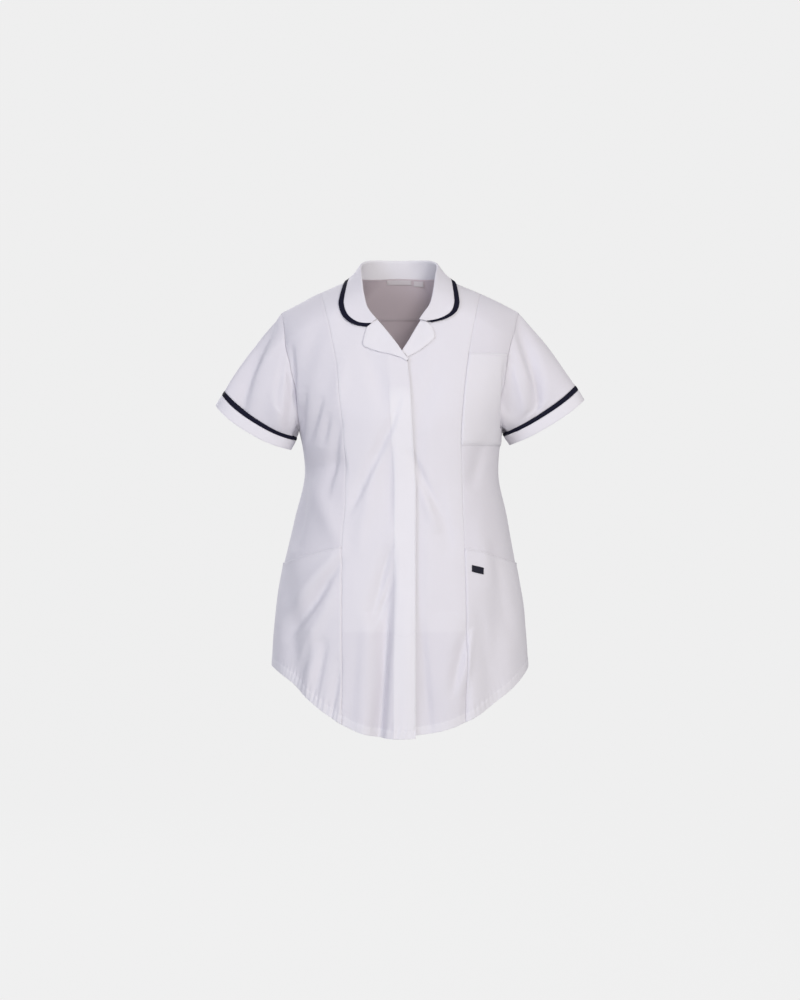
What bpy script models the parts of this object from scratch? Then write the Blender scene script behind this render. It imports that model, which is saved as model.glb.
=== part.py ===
"""Maternity tunic: short-sleeved work tunic with reveres, princess seams and a concealed front.

Metres, +Z up, the wearer faces -Y. The origin lies between the two points where the shoulder
seams meet the neck, which is where the garment hangs from its wearer. "right" and "left" in the
names are the wearer's. Every piece of cloth is a thin closed wall; the cloth's outer face comes
from SECTIONS and FOLDS, and pieces that lie on it are made from the same points, moved out.
"""
import math
from collections import namedtuple

import bpy
import numpy as np

# ---------------------------------------------------------------- driving sizes

CLOTH = 0.0014          # wall of one layer of body cloth
POCKET_CLOTH = 0.0012
COLLAR_CLOTH = 0.0016   # two layers and their interlining
FLY_CLOTH = 0.0008
LABEL_CLOTH = 0.0007
SEAM_GAP = 0.0003       # between neighbouring pieces
TAPE_GAP = 0.0006       # either side of the tape of a cuff
LAY_GAP = 0.0006        # under a piece that lies on another
LAP = 0.0020            # how far the overlapping fronts part from the common surface, each way
LAP_END = {"right": 0.034, "left": 0.048}   # where each front is back on that surface
LAP_EASE = 0.020
LANDING = 0.15          # slope at which collar and reveres come down on the cloth
FOLD_RADIUS = 0.0014    # turn of the collar and reveres over the roll line
TRIM_WIDTH = 0.0062     # contrast tape on collar and cuffs

NECK_X = 0.072          # neck end of the shoulder seam
NECK_Z = 0.010
NECK_DOME = 0.062       # how far the surface would rise at the centre, if the neck were closed
NAPE_RISE = 0.003
SHOULDER_SLOPE = 0.455
SHOULDER_CROWN = 0.0022
SHOULDER_X = 0.2045     # outer end of the shoulder seam
SHOULDER_TURN = 0.055   # height over which front and back round away from the shoulder seam
SHOULDER_POWER = 1.7
ROUNDNESS = 2.3         # superellipse exponent of the level sections

# Level sections of the filled-out tunic; the middle of the waist hangs a little to the left.
Section = namedtuple("Section", "z half_width front_depth back_depth middle")
SECTIONS = (
    Section(-0.790, 0.2225, 0.165, 0.122, 0.0),
    Section(-0.660, 0.2190, 0.162, 0.120, 0.0),
    Section(-0.560, 0.2115, 0.157, 0.117, 0.0),
    Section(-0.480, 0.1980, 0.149, 0.109, 0.0),
    Section(-0.400, 0.1805, 0.139, 0.094, 0.0020),
    Section(-0.325, 0.1665, 0.133, 0.087, 0.0032),
    Section(-0.252, 0.1755, 0.133, 0.102, 0.0012),
    Section(-0.190, 0.1970, 0.123, 0.106, 0.0),
    Section(-0.130, 0.2050, 0.104, 0.103, 0.0),
    Section(-0.060, 0.2090, 0.078, 0.088, 0.0),
    Section(0.010, 0.2130, 0.055, 0.062, 0.0),
    Section(0.050, 0.2140, 0.046, 0.050, 0.0),
)

# Rows of the panels run round the body, and rise or fall from the centre to the side.
Level = namedtuple("Level", "right_front left_front side back right_curve left_curve rows_above")
LEVELS = (
    Level(-0.7675, -0.7620, -0.656, -0.760, 2.9, 2.0, 6),     # hem
    Level(-0.4430, -0.4430, -0.481, -0.470, 2.0, 2.0, 3),     # mouths of the hip pockets
    Level(-0.3300, -0.3300, -0.330, -0.330, 1.0, 1.0, 2),     # high waist
    Level(-0.2810, -0.2810, -0.281, -0.281, 1.0, 1.0, 1),     # foot of the chest pocket
    Level(-0.2520, -0.2520, -0.252, -0.252, 1.0, 1.0, 0),     # armpit
)
BACK_CURVE = 2.5
MOUTH_Z = -0.126        # mouth of the chest pocket
BREAK_Z = -0.1434       # where the reveres turn out
ARMHOLE_STEPS = (0.03, 0.12, 0.32, 0.63, 1.0)
SEAM_STEPS = (0.2, 0.4, 0.6, 0.8, 1.0)
SHOULDER_STEPS = (0.24, 0.475, 0.58, 0.68, 0.82, 0.93, 1.0)
HIP_ROW = LEVELS[0].rows_above
FOOT_ROW = HIP_ROW + LEVELS[1].rows_above + LEVELS[2].rows_above
ARMPIT_ROW = FOOT_ROW + LEVELS[3].rows_above
MOUTH_ROW = ARMPIT_ROW + len(ARMHOLE_STEPS)
FACING_ROW = MOUTH_ROW + 2

# Columns of the back as shares of the way from the centre to each side; one meets the neck point.
NECK_PLACE = 0.35
BACK_PLACES = (
    -1.0, -0.81, -0.63, -0.48, -NECK_PLACE, -0.235, -0.12, 0.0,
    0.12, 0.235, NECK_PLACE, 0.48, 0.63, 0.81, 1.0,
)

# Distance of each seam from the centre line. The right front laps over the left front.
SeamX = namedtuple("SeamX", "z right left")
FRONT_EDGE = (
    SeamX(-0.780, -0.0257, -0.0080),
    SeamX(-0.480, -0.0257, -0.0080),
    SeamX(-0.400, -0.0240, -0.0100),
    SeamX(-0.343, -0.0228, -0.0111),
    SeamX(-0.303, -0.0207, -0.0106),
    SeamX(-0.1434, -0.0124, -0.0080),
    SeamX(-0.123, -0.0010, 0.0030),
    SeamX(-0.104, 0.0138, 0.0145),
    SeamX(-0.085, 0.0285, 0.0257),
    SeamX(-0.068, 0.0430, 0.0370),
    SeamX(-0.052, 0.0570, 0.0485),
    SeamX(-0.035, 0.0665, 0.0590),
    SeamX(-0.012, 0.0715, 0.0680),
    SeamX(0.010, 0.0720, 0.0720),
)
PRINCESS = (
    SeamX(-0.780, 0.0960, 0.1090),
    SeamX(-0.630, 0.0963, 0.1110),
    SeamX(-0.540, 0.0963, 0.1096),
    SeamX(-0.449, 0.0965, 0.1072),
    SeamX(-0.373, 0.0943, 0.1018),
    SeamX(-0.281, 0.0959, 0.1000),
    SeamX(-0.223, 0.0992, 0.1044),
    SeamX(-0.141, 0.1074, 0.1135),
    SeamX(-0.086, 0.1180, 0.1230),
    SeamX(-0.018, 0.1351, 0.1380),
)
ARMHOLE = (
    SeamX(-0.2495, 0.1750, 0.1728),
    SeamX(-0.243, 0.1754, 0.1716),
    SeamX(-0.229, 0.1769, 0.1718),
    SeamX(-0.200, 0.1820, 0.1780),
    SeamX(-0.157, 0.1870, 0.1815),
    SeamX(-0.137, 0.1887, 0.1825),
    SeamX(-0.114, 0.1942, 0.1870),
    SeamX(-0.091, 0.1965, 0.1945),
    SeamX(-0.050, 0.2045, 0.2045),
)

# Largest folds: a line from (x0, z0) to (x1, z1), its half width, and its height over the cloth.
Fold = namedtuple("Fold", "face x0 z0 x1 z1 half_width height")
FOLDS = (
    Fold("front", -0.014, -0.490, -0.034, -0.900, 0.013, -0.0095),
    Fold("front", 0.010, -0.520, 0.008, -0.900, 0.018, 0.0040),
    Fold("front", -0.048, -0.560, -0.064, -0.900, 0.016, 0.0045),
    Fold("front", -0.010, -0.225, -0.092, -0.410, 0.014, -0.0055),
    Fold("front", -0.128, -0.250, -0.134, -0.350, 0.026, -0.0060),
    Fold("front", -0.098, -0.445, -0.200, -0.640, 0.024, 0.0055),
    Fold("front", -0.098, -0.520, -0.175, -0.700, 0.020, -0.0050),
    Fold("front", 0.030, -0.290, 0.072, -0.420, 0.015, -0.0035),
    Fold("front", 0.038, -0.560, 0.042, -0.900, 0.015, -0.0055),
    Fold("front", 0.078, -0.560, 0.075, -0.900, 0.020, 0.0040),
    Fold("front", 0.150, -0.560, 0.160, -0.860, 0.028, -0.0050),
    Fold("back", -0.060, -0.400, -0.085, -0.900, 0.024, -0.0065),
    Fold("back", 0.020, -0.380, 0.030, -0.900, 0.025, -0.0060),
    Fold("back", 0.110, -0.430, 0.130, -0.900, 0.026, -0.0060),
    Fold("back", -0.165, -0.255, -0.050, -0.360, 0.022, -0.0045),
    Fold("back", 0.165, -0.260, 0.040, -0.375, 0.022, -0.0045),
)

# The same on a sleeve: shares of the way round it, and of the way down from its armhole.
SleeveFold = namedtuple("SleeveFold", "side round0 down0 round1 down1 half_width height")
SLEEVE_FOLDS = (
    SleeveFold("right", 0.09, 0.05, 0.18, 1.10, 0.016, -0.0050),
    SleeveFold("right", 0.24, 0.10, 0.36, 1.05, 0.020, 0.0035),
    SleeveFold("right", 0.87, 0.05, 0.82, 1.05, 0.020, -0.0045),
    SleeveFold("left", 0.06, 0.00, 0.26, 0.90, 0.016, -0.0050),
    SleeveFold("left", 0.86, 0.05, 0.80, 1.05, 0.020, -0.0045),
)

# Rings of the sleeves, from the armhole down: outer and inner end of each ring seen from the front.
Ring = namedtuple("Ring", "name outer_x outer_z inner_x inner_z half_depth")
SLEEVE_RINGS = {
    "right": (
        Ring("trim top", 0.3008, -0.1850, 0.1770, -0.2655, 0.045),
        Ring("cuff top", 0.3058, -0.1925, 0.1790, -0.2712, 0.045),
        Ring("cuff edge", 0.3165, -0.2105, 0.1878, -0.2868, 0.046),
    ),
    "left": (
        Ring("trim top", 0.3012, -0.1762, 0.1765, -0.2585, 0.045),
        Ring("cuff top", 0.3064, -0.1835, 0.1787, -0.2640, 0.045),
        Ring("cuff edge", 0.3165, -0.2010, 0.1890, -0.2784, 0.046),
    ),
}
RING_ROUNDNESS = 2.5
SLEEVE_ROWS = 5
SLEEVE_GIRTH = 0.42
SLEEVE_FULLNESS = 0.006
SLEEVE_HEAD = 0.004     # fullness below the shoulder point
FRONT_DROOP = 0.0115    # the cuff hangs lower between its folds than at them
BACK_DROOP = 0.0060

# Collar stations from the centre back to the front end, mirrored for the other side: a place on the
# neck seam, the roll line, and the outer edge, on the back as far as neck_x is given. The roll
# line leans to the right, and the right half reaches further out and sags below the left one.
Station = namedtuple("Station", "neck_x neck_z roll_x roll_y roll_z edge_x edge_z lean sag reach")
COLLAR = (
    Station(0.0000, None, 0.0000, 0.0560, 0.0430, 0.0000, -0.0140, 0.0010, 0.0, 0.0),
    Station(0.0220, None, 0.0220, 0.0540, 0.0432, 0.0280, -0.0145, 0.0010, 0.0, 0.0),
    Station(0.0420, None, 0.0410, 0.0450, 0.0428, 0.0540, -0.0145, 0.0010, 0.0, 0.0),
    Station(0.0580, None, 0.0560, 0.0310, 0.0400, 0.0750, -0.0115, 0.0010, 0.0, 0.0),
    Station(0.0685, None, 0.0642, 0.0140, 0.0345, 0.0865, -0.0040, 0.0012, 0.0, 0.0),
    Station(0.0706, None, 0.0656, 0.0060, 0.0310, 0.0900, 0.0006, 0.0014, 0.0, 0.0),
    Station(0.0720, None, 0.0658, 0.0000, 0.0280, 0.0915, 0.0021, 0.0016, 0.0, 0.0),
    Station(None, 0.0090, 0.0656, -0.0070, 0.0240, 0.0930, 0.0003, 0.0018, 0.0, 0.0),
    Station(None, 0.0050, 0.0645, -0.0150, 0.0190, 0.0950, -0.0040, 0.0022, 0.0, 0.0),
    Station(None, -0.0060, 0.0622, -0.0410, 0.0020, 0.0980, -0.0165, 0.0028, 0.0, 0.0006),
    Station(None, -0.0220, 0.0594, -0.0618, -0.0190, 0.1003, -0.0290, 0.0030, 0.0, 0.0012),
    Station(None, -0.0400, 0.0540, -0.0752, -0.0420, 0.1013, -0.0430, 0.0033, 0.0, 0.0017),
    Station(None, -0.0540, 0.0465, -0.0802, -0.0550, 0.0958, -0.0590, 0.0045, 0.0032, 0.0010),
    Station(None, -0.0630, 0.0405, -0.0838, -0.0630, 0.0800, -0.0715, 0.0040, 0.0045, 0.0008),
    Station(None, -0.0688, 0.0364, -0.0860, -0.0688, 0.0545, -0.0782, 0.0035, 0.0042, 0.0010),
)

# Reveres from the gorge down: height on the roll line, and the outer edge.
Revere = namedtuple("Revere", "roll_z edge_x edge_z")
REVERES = (
    Revere(-0.0712, 0.0585, -0.0852),
    Revere(-0.0780, 0.0615, -0.0965),
    Revere(-0.0870, 0.0632, -0.1085),
    Revere(-0.0970, 0.0450, -0.1175),
    Revere(-0.1080, 0.0270, -0.1245),
    Revere(-0.1190, 0.0110, -0.1300),
    Revere(-0.1300, -0.0020, -0.1355),
    Revere(-0.1390, -0.0095, -0.1410),
)
LEFT_REVERE_ROWS = 6    # the rest of the left revere would lie under the right front

# Width of the chest pocket on each row from its foot up, as a share of the side front's columns.
CHEST_POCKET_SHARES = (0.99, 0.83, 0.80, 0.88, 0.94, 0.96, 0.97)
FLY_TOP_Z = -0.165
FLY_FOOT_Z = -0.590
FLY_INSET = 0.0020      # from the right front's edge, and from the left front's

# Plain labels: face they lie on, centre, size and slope across.
Label = namedtuple("Label", "name back x z width height slope lift")
LABELS = (
    Label("neck_label", True, -0.0014, 0.0073, 0.0430, 0.0075, 0.0, -0.0036),
    Label("size_tab", True, 0.0334, 0.0056, 0.0180, 0.0090, 0.0, -0.0054),
    Label("pocket_label", False, 0.1284, -0.4895, 0.0190, 0.0110, -0.27, 0.0029),
)

WHITE = ("tunic_cloth", (0.80, 0.78, 0.83, 1.0), 0.85)
NAVY = ("contrast_tape", (0.018, 0.020, 0.035, 1.0), 0.80)
LABEL_WHITE = ("label_satin", (0.85, 0.85, 0.86, 1.0), 0.45)
LABEL_NAVY = ("label_woven", (0.016, 0.018, 0.030, 1.0), 0.60)


# ---------------------------------------------------------------- the cloth's surface


def smooth(rows, column, at):
    """One column of a table at any height, on a smooth curve through its rows."""
    key = np.array([row.z for row in rows])
    value = np.array([getattr(row, column) for row in rows])
    secant = np.diff(value) / np.diff(key)
    turns = secant[:-1] * secant[1:] <= 0
    slope = np.gradient(value, key)
    limit = 3 * np.minimum(np.abs(secant[:-1]), np.abs(secant[1:]))
    slope[1:-1] = np.where(turns, 0.0, np.clip(slope[1:-1], -limit, limit))
    at = np.asarray(at, float)
    low = np.clip(np.searchsorted(key, at) - 1, 0, len(key) - 2)
    span = key[low + 1] - key[low]
    t = np.clip((at - key[low]) / span, 0.0, 1.0)
    ease = t * t * (3 - 2 * t)
    bend = span * t * (1 - t) * (slope[low] * (1 - t) - slope[low + 1] * t)
    return value[low] * (1 - ease) + value[low + 1] * ease + bend


def shoulder_height(x):
    """Height of the shoulder seam, carried on over the neck as a dome."""
    x = np.abs(x)
    along = np.clip((x - NECK_X) / (SHOULDER_X - NECK_X), 0.0, 1.0)
    outside = NECK_Z - SHOULDER_SLOPE * (x - NECK_X) + SHOULDER_CROWN * np.sin(along * math.pi)
    inside = NECK_Z + NECK_DOME * (1 - (x / NECK_X) ** 2)
    return np.where(x < NECK_X, inside, outside)


def angle_at(x, z):
    """Angle from the centre line at which a level section passes x."""
    share = np.abs(x) / smooth(SECTIONS, "half_width", z)
    return np.sign(x) * np.arcsin(np.clip(share, 0.0, 1.0) ** (ROUNDNESS / 2))


def plain_point(angle, z, back):
    """Point of the cloth's outer face before any fold."""
    half_width = smooth(SECTIONS, "half_width", z)
    depth = smooth(SECTIONS, "back_depth" if back else "front_depth", z)
    x = np.sign(angle) * half_width * np.abs(np.sin(angle)) ** (2 / ROUNDNESS)
    drop = np.clip((shoulder_height(x) - z) / SHOULDER_TURN, 0.0, 1.0)
    turn = (1 - (1 - drop) ** SHOULDER_POWER) ** (1 / SHOULDER_POWER)
    y = depth * np.abs(np.cos(angle)) ** (2 / ROUNDNESS) * turn
    return np.stack([x + smooth(SECTIONS, "middle", z), y if back else -y, z + 0 * x], axis=-1)


def fold_height(x, z, back):
    """Height of all the folds of one face at a place on it."""
    height = np.zeros(np.shape(x))
    for fold in FOLDS:
        if (fold.face == "back") != back:
            continue
        run = np.array([fold.x1 - fold.x0, fold.z1 - fold.z0])
        length = math.hypot(*run)
        along = ((x - fold.x0) * run[0] + (z - fold.z0) * run[1]) / length ** 2
        across = ((x - fold.x0) * run[1] - (z - fold.z0) * run[0]) / length
        swell = np.sqrt(np.clip(4 * along * (1 - along), 0.0, 1.0))
        height = height + fold.height * swell * np.exp(-(across / fold.half_width) ** 2)
    return height


def unit(vectors):
    return vectors / np.maximum(np.linalg.norm(vectors, axis=-1, keepdims=True), 1e-12)


def cloth_point(angle, z, back=False, lift=0.0):
    """Point at a height over the cloth's outer face, and the direction out of the cloth there."""
    angle, z = np.broadcast_arrays(np.asarray(angle, float), np.asarray(z, float))
    here = plain_point(angle, z, back)
    before = np.maximum(angle - 1e-3, -math.pi / 2)
    after = np.minimum(angle + 1e-3, math.pi / 2)
    round_body = plain_point(after, z, back) - plain_point(before, z, back)
    upward = here - plain_point(angle, z - 2e-5, back)
    outward = unit(np.cross(round_body, upward))
    if back:
        outward = -outward
    height = fold_height(here[..., 0], z, back) + lift
    return here + outward * np.expand_dims(height, -1), outward


def seam_x(rows, side, z):
    return smooth(rows, side, z)


def level_edge(level, angle, face):
    """Height of one level line at an angle."""
    centre = {"right": level.right_front, "left": level.left_front, "back": level.back}[face]
    curve = {"right": level.right_curve, "left": level.left_curve, "back": BACK_CURVE}[face]
    return level.side + (centre - level.side) * np.cos(angle) ** curve


def level_height(row, angle, face):
    """Height of a row of the panels at an angle, for the rows from the hem to the armpit."""
    for level, above in zip(LEVELS, LEVELS[1:]):
        if row <= level.rows_above:
            break
        row -= level.rows_above
    lower = level_edge(level, angle, face)
    return lower + (level_edge(above, angle, face) - lower) * row / level.rows_above


def on_row(row, x_of_z, face):
    """Angle and height where a row crosses a line given as x at each height."""
    z = level_height(row, 0.5, face)
    for _ in range(12):
        angle = angle_at(x_of_z(z), z)
        z = level_height(row, angle, face)
    return float(angle), float(z)


# ---------------------------------------------------------------- walls of cloth


def grid_faces(rows, columns, ring, turned):
    """Triangles of one grid of points; their diagonal is the other one in the first turned columns."""
    faces = []
    for row in range(rows - 1):
        for column in range(columns if ring else columns - 1):
            beside = (column + 1) % columns
            a, b = row * columns + column, row * columns + beside
            c, d = (row + 1) * columns + beside, (row + 1) * columns + column
            faces += [(a, b, d), (b, c, d)] if column < turned else [(a, b, c), (a, c, d)]
    return faces


def border(rows, columns, ring):
    """Edge loops of a grid, as closed lists of point numbers."""
    first = list(range(columns))
    last = [(rows - 1) * columns + column for column in range(columns)]
    if ring:
        return [first, last[::-1]]
    right = [row * columns + columns - 1 for row in range(1, rows - 1)]
    left = [row * columns for row in range(rows - 2, 0, -1)]
    return [first + right + last[::-1] + left]


def cloth(name, finish, outer, inner, ring=False, turned=0):
    """One closed piece: two grids of points joined round their borders."""
    rows, columns = outer.shape[:2]
    count = rows * columns
    points = np.concatenate([outer.reshape(-1, 3), inner.reshape(-1, 3)])
    front = grid_faces(rows, columns, ring, turned)
    faces = front + [(a + count, c + count, b + count) for a, b, c in front]
    for loop in border(rows, columns, ring):
        for a, b in zip(loop, loop[1:] + loop[:1]):
            faces += [(b, a, a + count), (b, a + count, b + count)]
    corner = points[np.array(faces)]
    if np.linalg.det(corner).sum() < 0:
        faces = [face[::-1] for face in faces]
    mesh = bpy.data.meshes.new(name)
    mesh.from_pydata(points.tolist(), [], faces)
    mesh.materials.append(material(*finish))
    mesh.shade_smooth()
    mesh.set_sharp_from_angle(angle=math.radians(50))
    piece = bpy.data.objects.new(name, mesh)
    parts.objects.link(piece)
    return piece


def material(name, colour, roughness):
    found = bpy.data.materials.get(name)
    if found:
        return found
    made = bpy.data.materials.new(name)
    made.use_nodes = True
    made.diffuse_color = colour
    shader = made.node_tree.nodes["Principled BSDF"]
    shader.inputs["Base Color"].default_value = colour
    shader.inputs["Roughness"].default_value = roughness
    shader.inputs["Metallic"].default_value = 0.0
    return made


def draw_in(outer, inner, edges, gap=SEAM_GAP):
    """Moves the named borders of a piece inwards by half a gap."""
    for edge in edges:
        at, beside = {"first": (0, 1), "last": (-1, -2)}[edge.split()[0]]
        if edge.endswith("row"):
            step = unit(outer[beside] - outer[at]) * gap / 2
            outer[at] += step
            inner[at] += step
        else:
            step = unit(outer[:, beside] - outer[:, at]) * gap / 2
            outer[:, at] += step
            inner[:, at] += step


def grid_normals(grid, ring=False):
    """Direction across a grid of points at each of them."""
    down = np.gradient(grid, axis=0)
    if ring:
        along = np.roll(grid, -1, axis=1) - np.roll(grid, 1, axis=1)
    else:
        along = np.gradient(grid, axis=1)
    return unit(np.cross(along, down))


def fill(left, right, bottom, top, rise, across, reach=1):
    """Grid between four edge lines of (angle, z) pairs.

    The bend of the side edges fades across the grid, and sooner where reach is higher.
    """
    u = np.asarray(across)[None, :, None]
    v = np.asarray(rise)[:, None, None]
    ends = (1 - v) * bottom[None] + v * top[None]
    left_bend = left[:, None] - ends[:, :1]
    right_bend = right[:, None] - ends[:, -1:]
    return ends + (1 - u) ** reach * left_bend + u ** reach * right_bend


def seam_line(rows, side, heights):
    """A seam above the armpit as (angle, z) pairs."""
    heights = np.asarray(heights)
    return np.stack([angle_at(seam_x(rows, side, heights), heights), heights], axis=1)


def climb(low, high, steps):
    return low + (high - low) * np.array((0.0,) + tuple(steps))


def shoulder_line(from_x, to_x, across):
    x = from_x + (to_x - from_x) * np.asarray(across)
    z = shoulder_height(x)
    return np.stack([angle_at(x, z), z], axis=1)


# ---------------------------------------------------------------- front and back panels


def centre_columns(side, z):
    """Distances from the centre line of a centre front's columns at one height.

    The first four lie in the overlap, on the same lines for both fronts.
    """
    if side == "right":
        lap = np.linspace(seam_x(FRONT_EDGE, "right", z), -seam_x(FRONT_EDGE, "left", z), 4)
        spread = np.array((0.11, 0.22, 0.34, 0.48, 0.64, 0.82, 1.0))
    else:
        lap = np.linspace(seam_x(FRONT_EDGE, "left", z), -seam_x(FRONT_EDGE, "right", z), 4)
        spread = np.array((0.14, 0.30, 0.47, 0.65, 0.83, 1.0))
    return np.concatenate([lap, lap[-1] + (seam_x(PRINCESS, side, z) - lap[-1]) * spread])


def centre_front_grid(side):
    """(angle, z) grid of a centre front, from its front edge to its princess seam."""
    count = len(centre_columns(side, 0.0))
    lower = [
        [on_row(row, lambda z, c=column: centre_columns(side, z)[c], side) for column in range(count)]
        for row in range(ARMPIT_ROW + 1)
    ]
    armpit = LEVELS[-1].side
    edge = climb(armpit, BREAK_Z, SEAM_STEPS)
    seam = climb(armpit, MOUTH_Z, SEAM_STEPS)
    upper = []
    for edge_z, seam_z in zip(edge[1:], seam[1:]):
        x = centre_columns(side, edge_z)
        share = (x - x[0]) / (x[-1] - x[0])
        z = edge_z + (seam_z - edge_z) * share
        x = x + (seam_x(PRINCESS, side, seam_z) - x[-1]) * share
        upper.append(np.stack([angle_at(x, z), z], axis=1))
    top_seam_x = seam_x(PRINCESS, side, -0.018)
    across = share
    neckline = seam_line(FRONT_EDGE, side, climb(BREAK_Z, NECK_Z, SHOULDER_STEPS))
    princess = seam_line(PRINCESS, side, climb(MOUTH_Z, float(shoulder_height(top_seam_x)), SHOULDER_STEPS))
    top = shoulder_line(NECK_X, top_seam_x, across)
    crown = fill(neckline, princess, upper[-1], top, (0.0,) + SHOULDER_STEPS, across)
    return np.concatenate([np.array(lower), np.array(upper), crown[1:]])


def side_front_grid(side):
    """(angle, z) grid of a side front, from its princess seam to the side seam and armhole."""
    across = np.array((0.0, 0.10, 0.21, 0.33, 0.47, 0.64, 0.82, 1.0))
    lower = []
    for row in range(ARMPIT_ROW + 1):
        seam = on_row(row, lambda z: seam_x(PRINCESS, side, z), side)
        angle = seam[0] + (math.pi / 2 - seam[0]) * across
        lower.append(np.stack([angle, level_height(row, angle, side)], axis=1))
    armpit = LEVELS[-1].side
    top_seam_x = seam_x(PRINCESS, side, -0.018)
    princess = seam_line(PRINCESS, side, climb(armpit, MOUTH_Z, SEAM_STEPS))
    armhole = seam_line(ARMHOLE, side, climb(armpit, MOUTH_Z, ARMHOLE_STEPS))
    armhole[0] = (math.pi / 2, armpit)
    mouth = princess[-1] + (armhole[-1] - princess[-1]) * across[:, None]
    chest = fill(princess, armhole, lower[-1], mouth, (0.0,) + SEAM_STEPS, across, reach=3)
    shoulder_z = float(shoulder_height(SHOULDER_X))
    princess = seam_line(PRINCESS, side, climb(MOUTH_Z, float(shoulder_height(top_seam_x)), SHOULDER_STEPS))
    armhole = seam_line(ARMHOLE, side, climb(MOUTH_Z, shoulder_z, SHOULDER_STEPS))
    top = shoulder_line(top_seam_x, SHOULDER_X, across)
    crown = fill(princess, armhole, mouth, top, (0.0,) + SHOULDER_STEPS, across)
    return np.concatenate([np.array(lower), chest[1:], crown[1:]])


def back_grid():
    """(angle, z) grid of the back, from the right side seam to the left one."""
    place = np.array(BACK_PLACES)
    lower = []
    for row in range(ARMPIT_ROW + 1):
        angle = place * math.pi / 2
        lower.append(np.stack([angle, level_height(row, angle, "back")], axis=1))
    armpit = LEVELS[-1].side
    shoulder_z = float(shoulder_height(SHOULDER_X))
    edges = []
    for low, high, steps in ((armpit, MOUTH_Z, ARMHOLE_STEPS), (MOUTH_Z, shoulder_z, SHOULDER_STEPS)):
        left = seam_line(ARMHOLE, "left", climb(low, high, steps))
        right = seam_line(ARMHOLE, "right", climb(low, high, steps)) * (-1, 1)
        edges.append([right, left])
    edges[0][0][0] = (-math.pi / 2, armpit)
    edges[0][1][0] = (math.pi / 2, armpit)
    across = (place + 1) / 2
    mouth = np.stack([
        np.where(place < 0, -edges[1][0][0, 0], edges[1][1][0, 0]) * place,
        np.full(len(place), MOUTH_Z),
    ], axis=1)
    chest = fill(*edges[0], lower[-1], mouth, (0.0,) + SEAM_STEPS, across, reach=3)
    reach = np.abs(place)
    on_shoulder = (reach - NECK_PLACE) / (1 - NECK_PLACE)
    x = np.where(
        reach > NECK_PLACE,
        NECK_X + (SHOULDER_X - NECK_X) * on_shoulder,
        NECK_X * reach / NECK_PLACE,
    )
    z = np.where(reach > NECK_PLACE, shoulder_height(x), neck_seam_height(x))
    top = np.stack([angle_at(x, z) * np.sign(place), z], axis=1)
    crown = fill(*edges[1], mouth, top, (0.0,) + SHOULDER_STEPS, across)
    return np.concatenate([np.array(lower), chest[1:], crown[1:]])


def neck_seam_height(x):
    return NECK_Z + NAPE_RISE * (1 - (np.abs(x) / NECK_X) ** 2)


def overlap(x, side):
    """How far a centre front is moved out, or in, where the fronts overlap."""
    near = np.clip((LAP_END[side] - x) / LAP_EASE, 0.0, 1.0)
    return (LAP if side == "right" else -LAP) * near * near * (3 - 2 * near)


def panel(grid, side, back=False, lift=0.0, wall=CLOTH, lapped=False):
    """Outer and inner points of a piece from its (angle, z) grid."""
    sign = -1 if side == "right" else 1
    angle, z = grid[..., 0], grid[..., 1]
    if lapped:
        half_width = smooth(SECTIONS, "half_width", z)
        x = np.sign(angle) * half_width * np.abs(np.sin(angle)) ** (2 / ROUNDNESS)
        lift = lift + overlap(x, side)
    outer, outward = cloth_point(sign * angle, z, back, lift)
    return outer, outer - outward * wall


def make_body():
    """Front and back panels. Returns the armhole edges for the sleeves."""
    edges = {}
    for side in ("right", "left"):
        grid = centre_front_grid(side)
        outer, inner = panel(grid, side, lapped=True)
        draw_in(outer, inner, ("last column", "last row"))
        cloth(f"front_centre_{side}", WHITE, outer, inner, turned=3 if side == "right" else 0)
        grid = side_front_grid(side)
        outer, inner = panel(grid, side)
        edges[side] = [(outer[ARMPIT_ROW:, -1].copy(), inner[ARMPIT_ROW:, -1].copy())]
        draw_in(outer, inner, ("first column", "last column", "last row"))
        cloth(f"front_side_{side}", WHITE, outer, inner)
    outer, inner = panel(back_grid(), "left", back=True)
    for side, column in (("right", 0), ("left", -1)):
        edges[side].append((outer[ARMPIT_ROW:, column].copy(), inner[ARMPIT_ROW:, column].copy()))
    draw_in(outer, inner, ("first column", "last column", "last row"))
    cloth("back", WHITE, outer, inner, turned=len(BACK_PLACES) // 2)
    return edges


# ---------------------------------------------------------------- pockets, fly, facing, labels


def make_pockets():
    """Hip pockets caught in the princess seam, side seam and hem, and one chest pocket."""
    low, high = LAY_GAP, LAY_GAP + POCKET_CLOTH
    for side in ("right", "left"):
        grid = side_front_grid(side)[: HIP_ROW + 1]
        outer, inner = panel(grid, side, lift=high, wall=high - low)
        draw_in(outer, inner, ("first column", "last column"))
        cloth(f"hip_pocket_{side}", WHITE, outer, inner)
    grid = side_front_grid("left")[FOOT_ROW: MOUTH_ROW + 1]
    for row, share in zip(grid, CHEST_POCKET_SHARES):
        place = np.linspace(0.0, 1.0, len(row))
        row[:] = np.stack([np.interp(place * share, place, row[:, axis]) for axis in (0, 1)], axis=1)
    outer, inner = panel(grid, "left", lift=high, wall=high - low)
    draw_in(outer, inner, ("first column", "last column"))
    cloth("chest_pocket", WHITE, outer, inner)


def make_fly():
    """Buttonhole strip between the two fronts, which ends at the tack near the hip."""
    grid = centre_front_grid("right")[:, :4]
    heights = grid[:, 0, 1]
    grid = grid[(heights > FLY_FOOT_Z) & (heights < FLY_TOP_Z)]
    outer, inner = panel(grid, "right", lift=(FLY_CLOTH - CLOTH) / 2, wall=FLY_CLOTH)
    draw_in(outer, inner, ("first column", "last column"), 2 * FLY_INSET)
    cloth("fly_strip", WHITE, outer, inner, turned=3)


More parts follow.
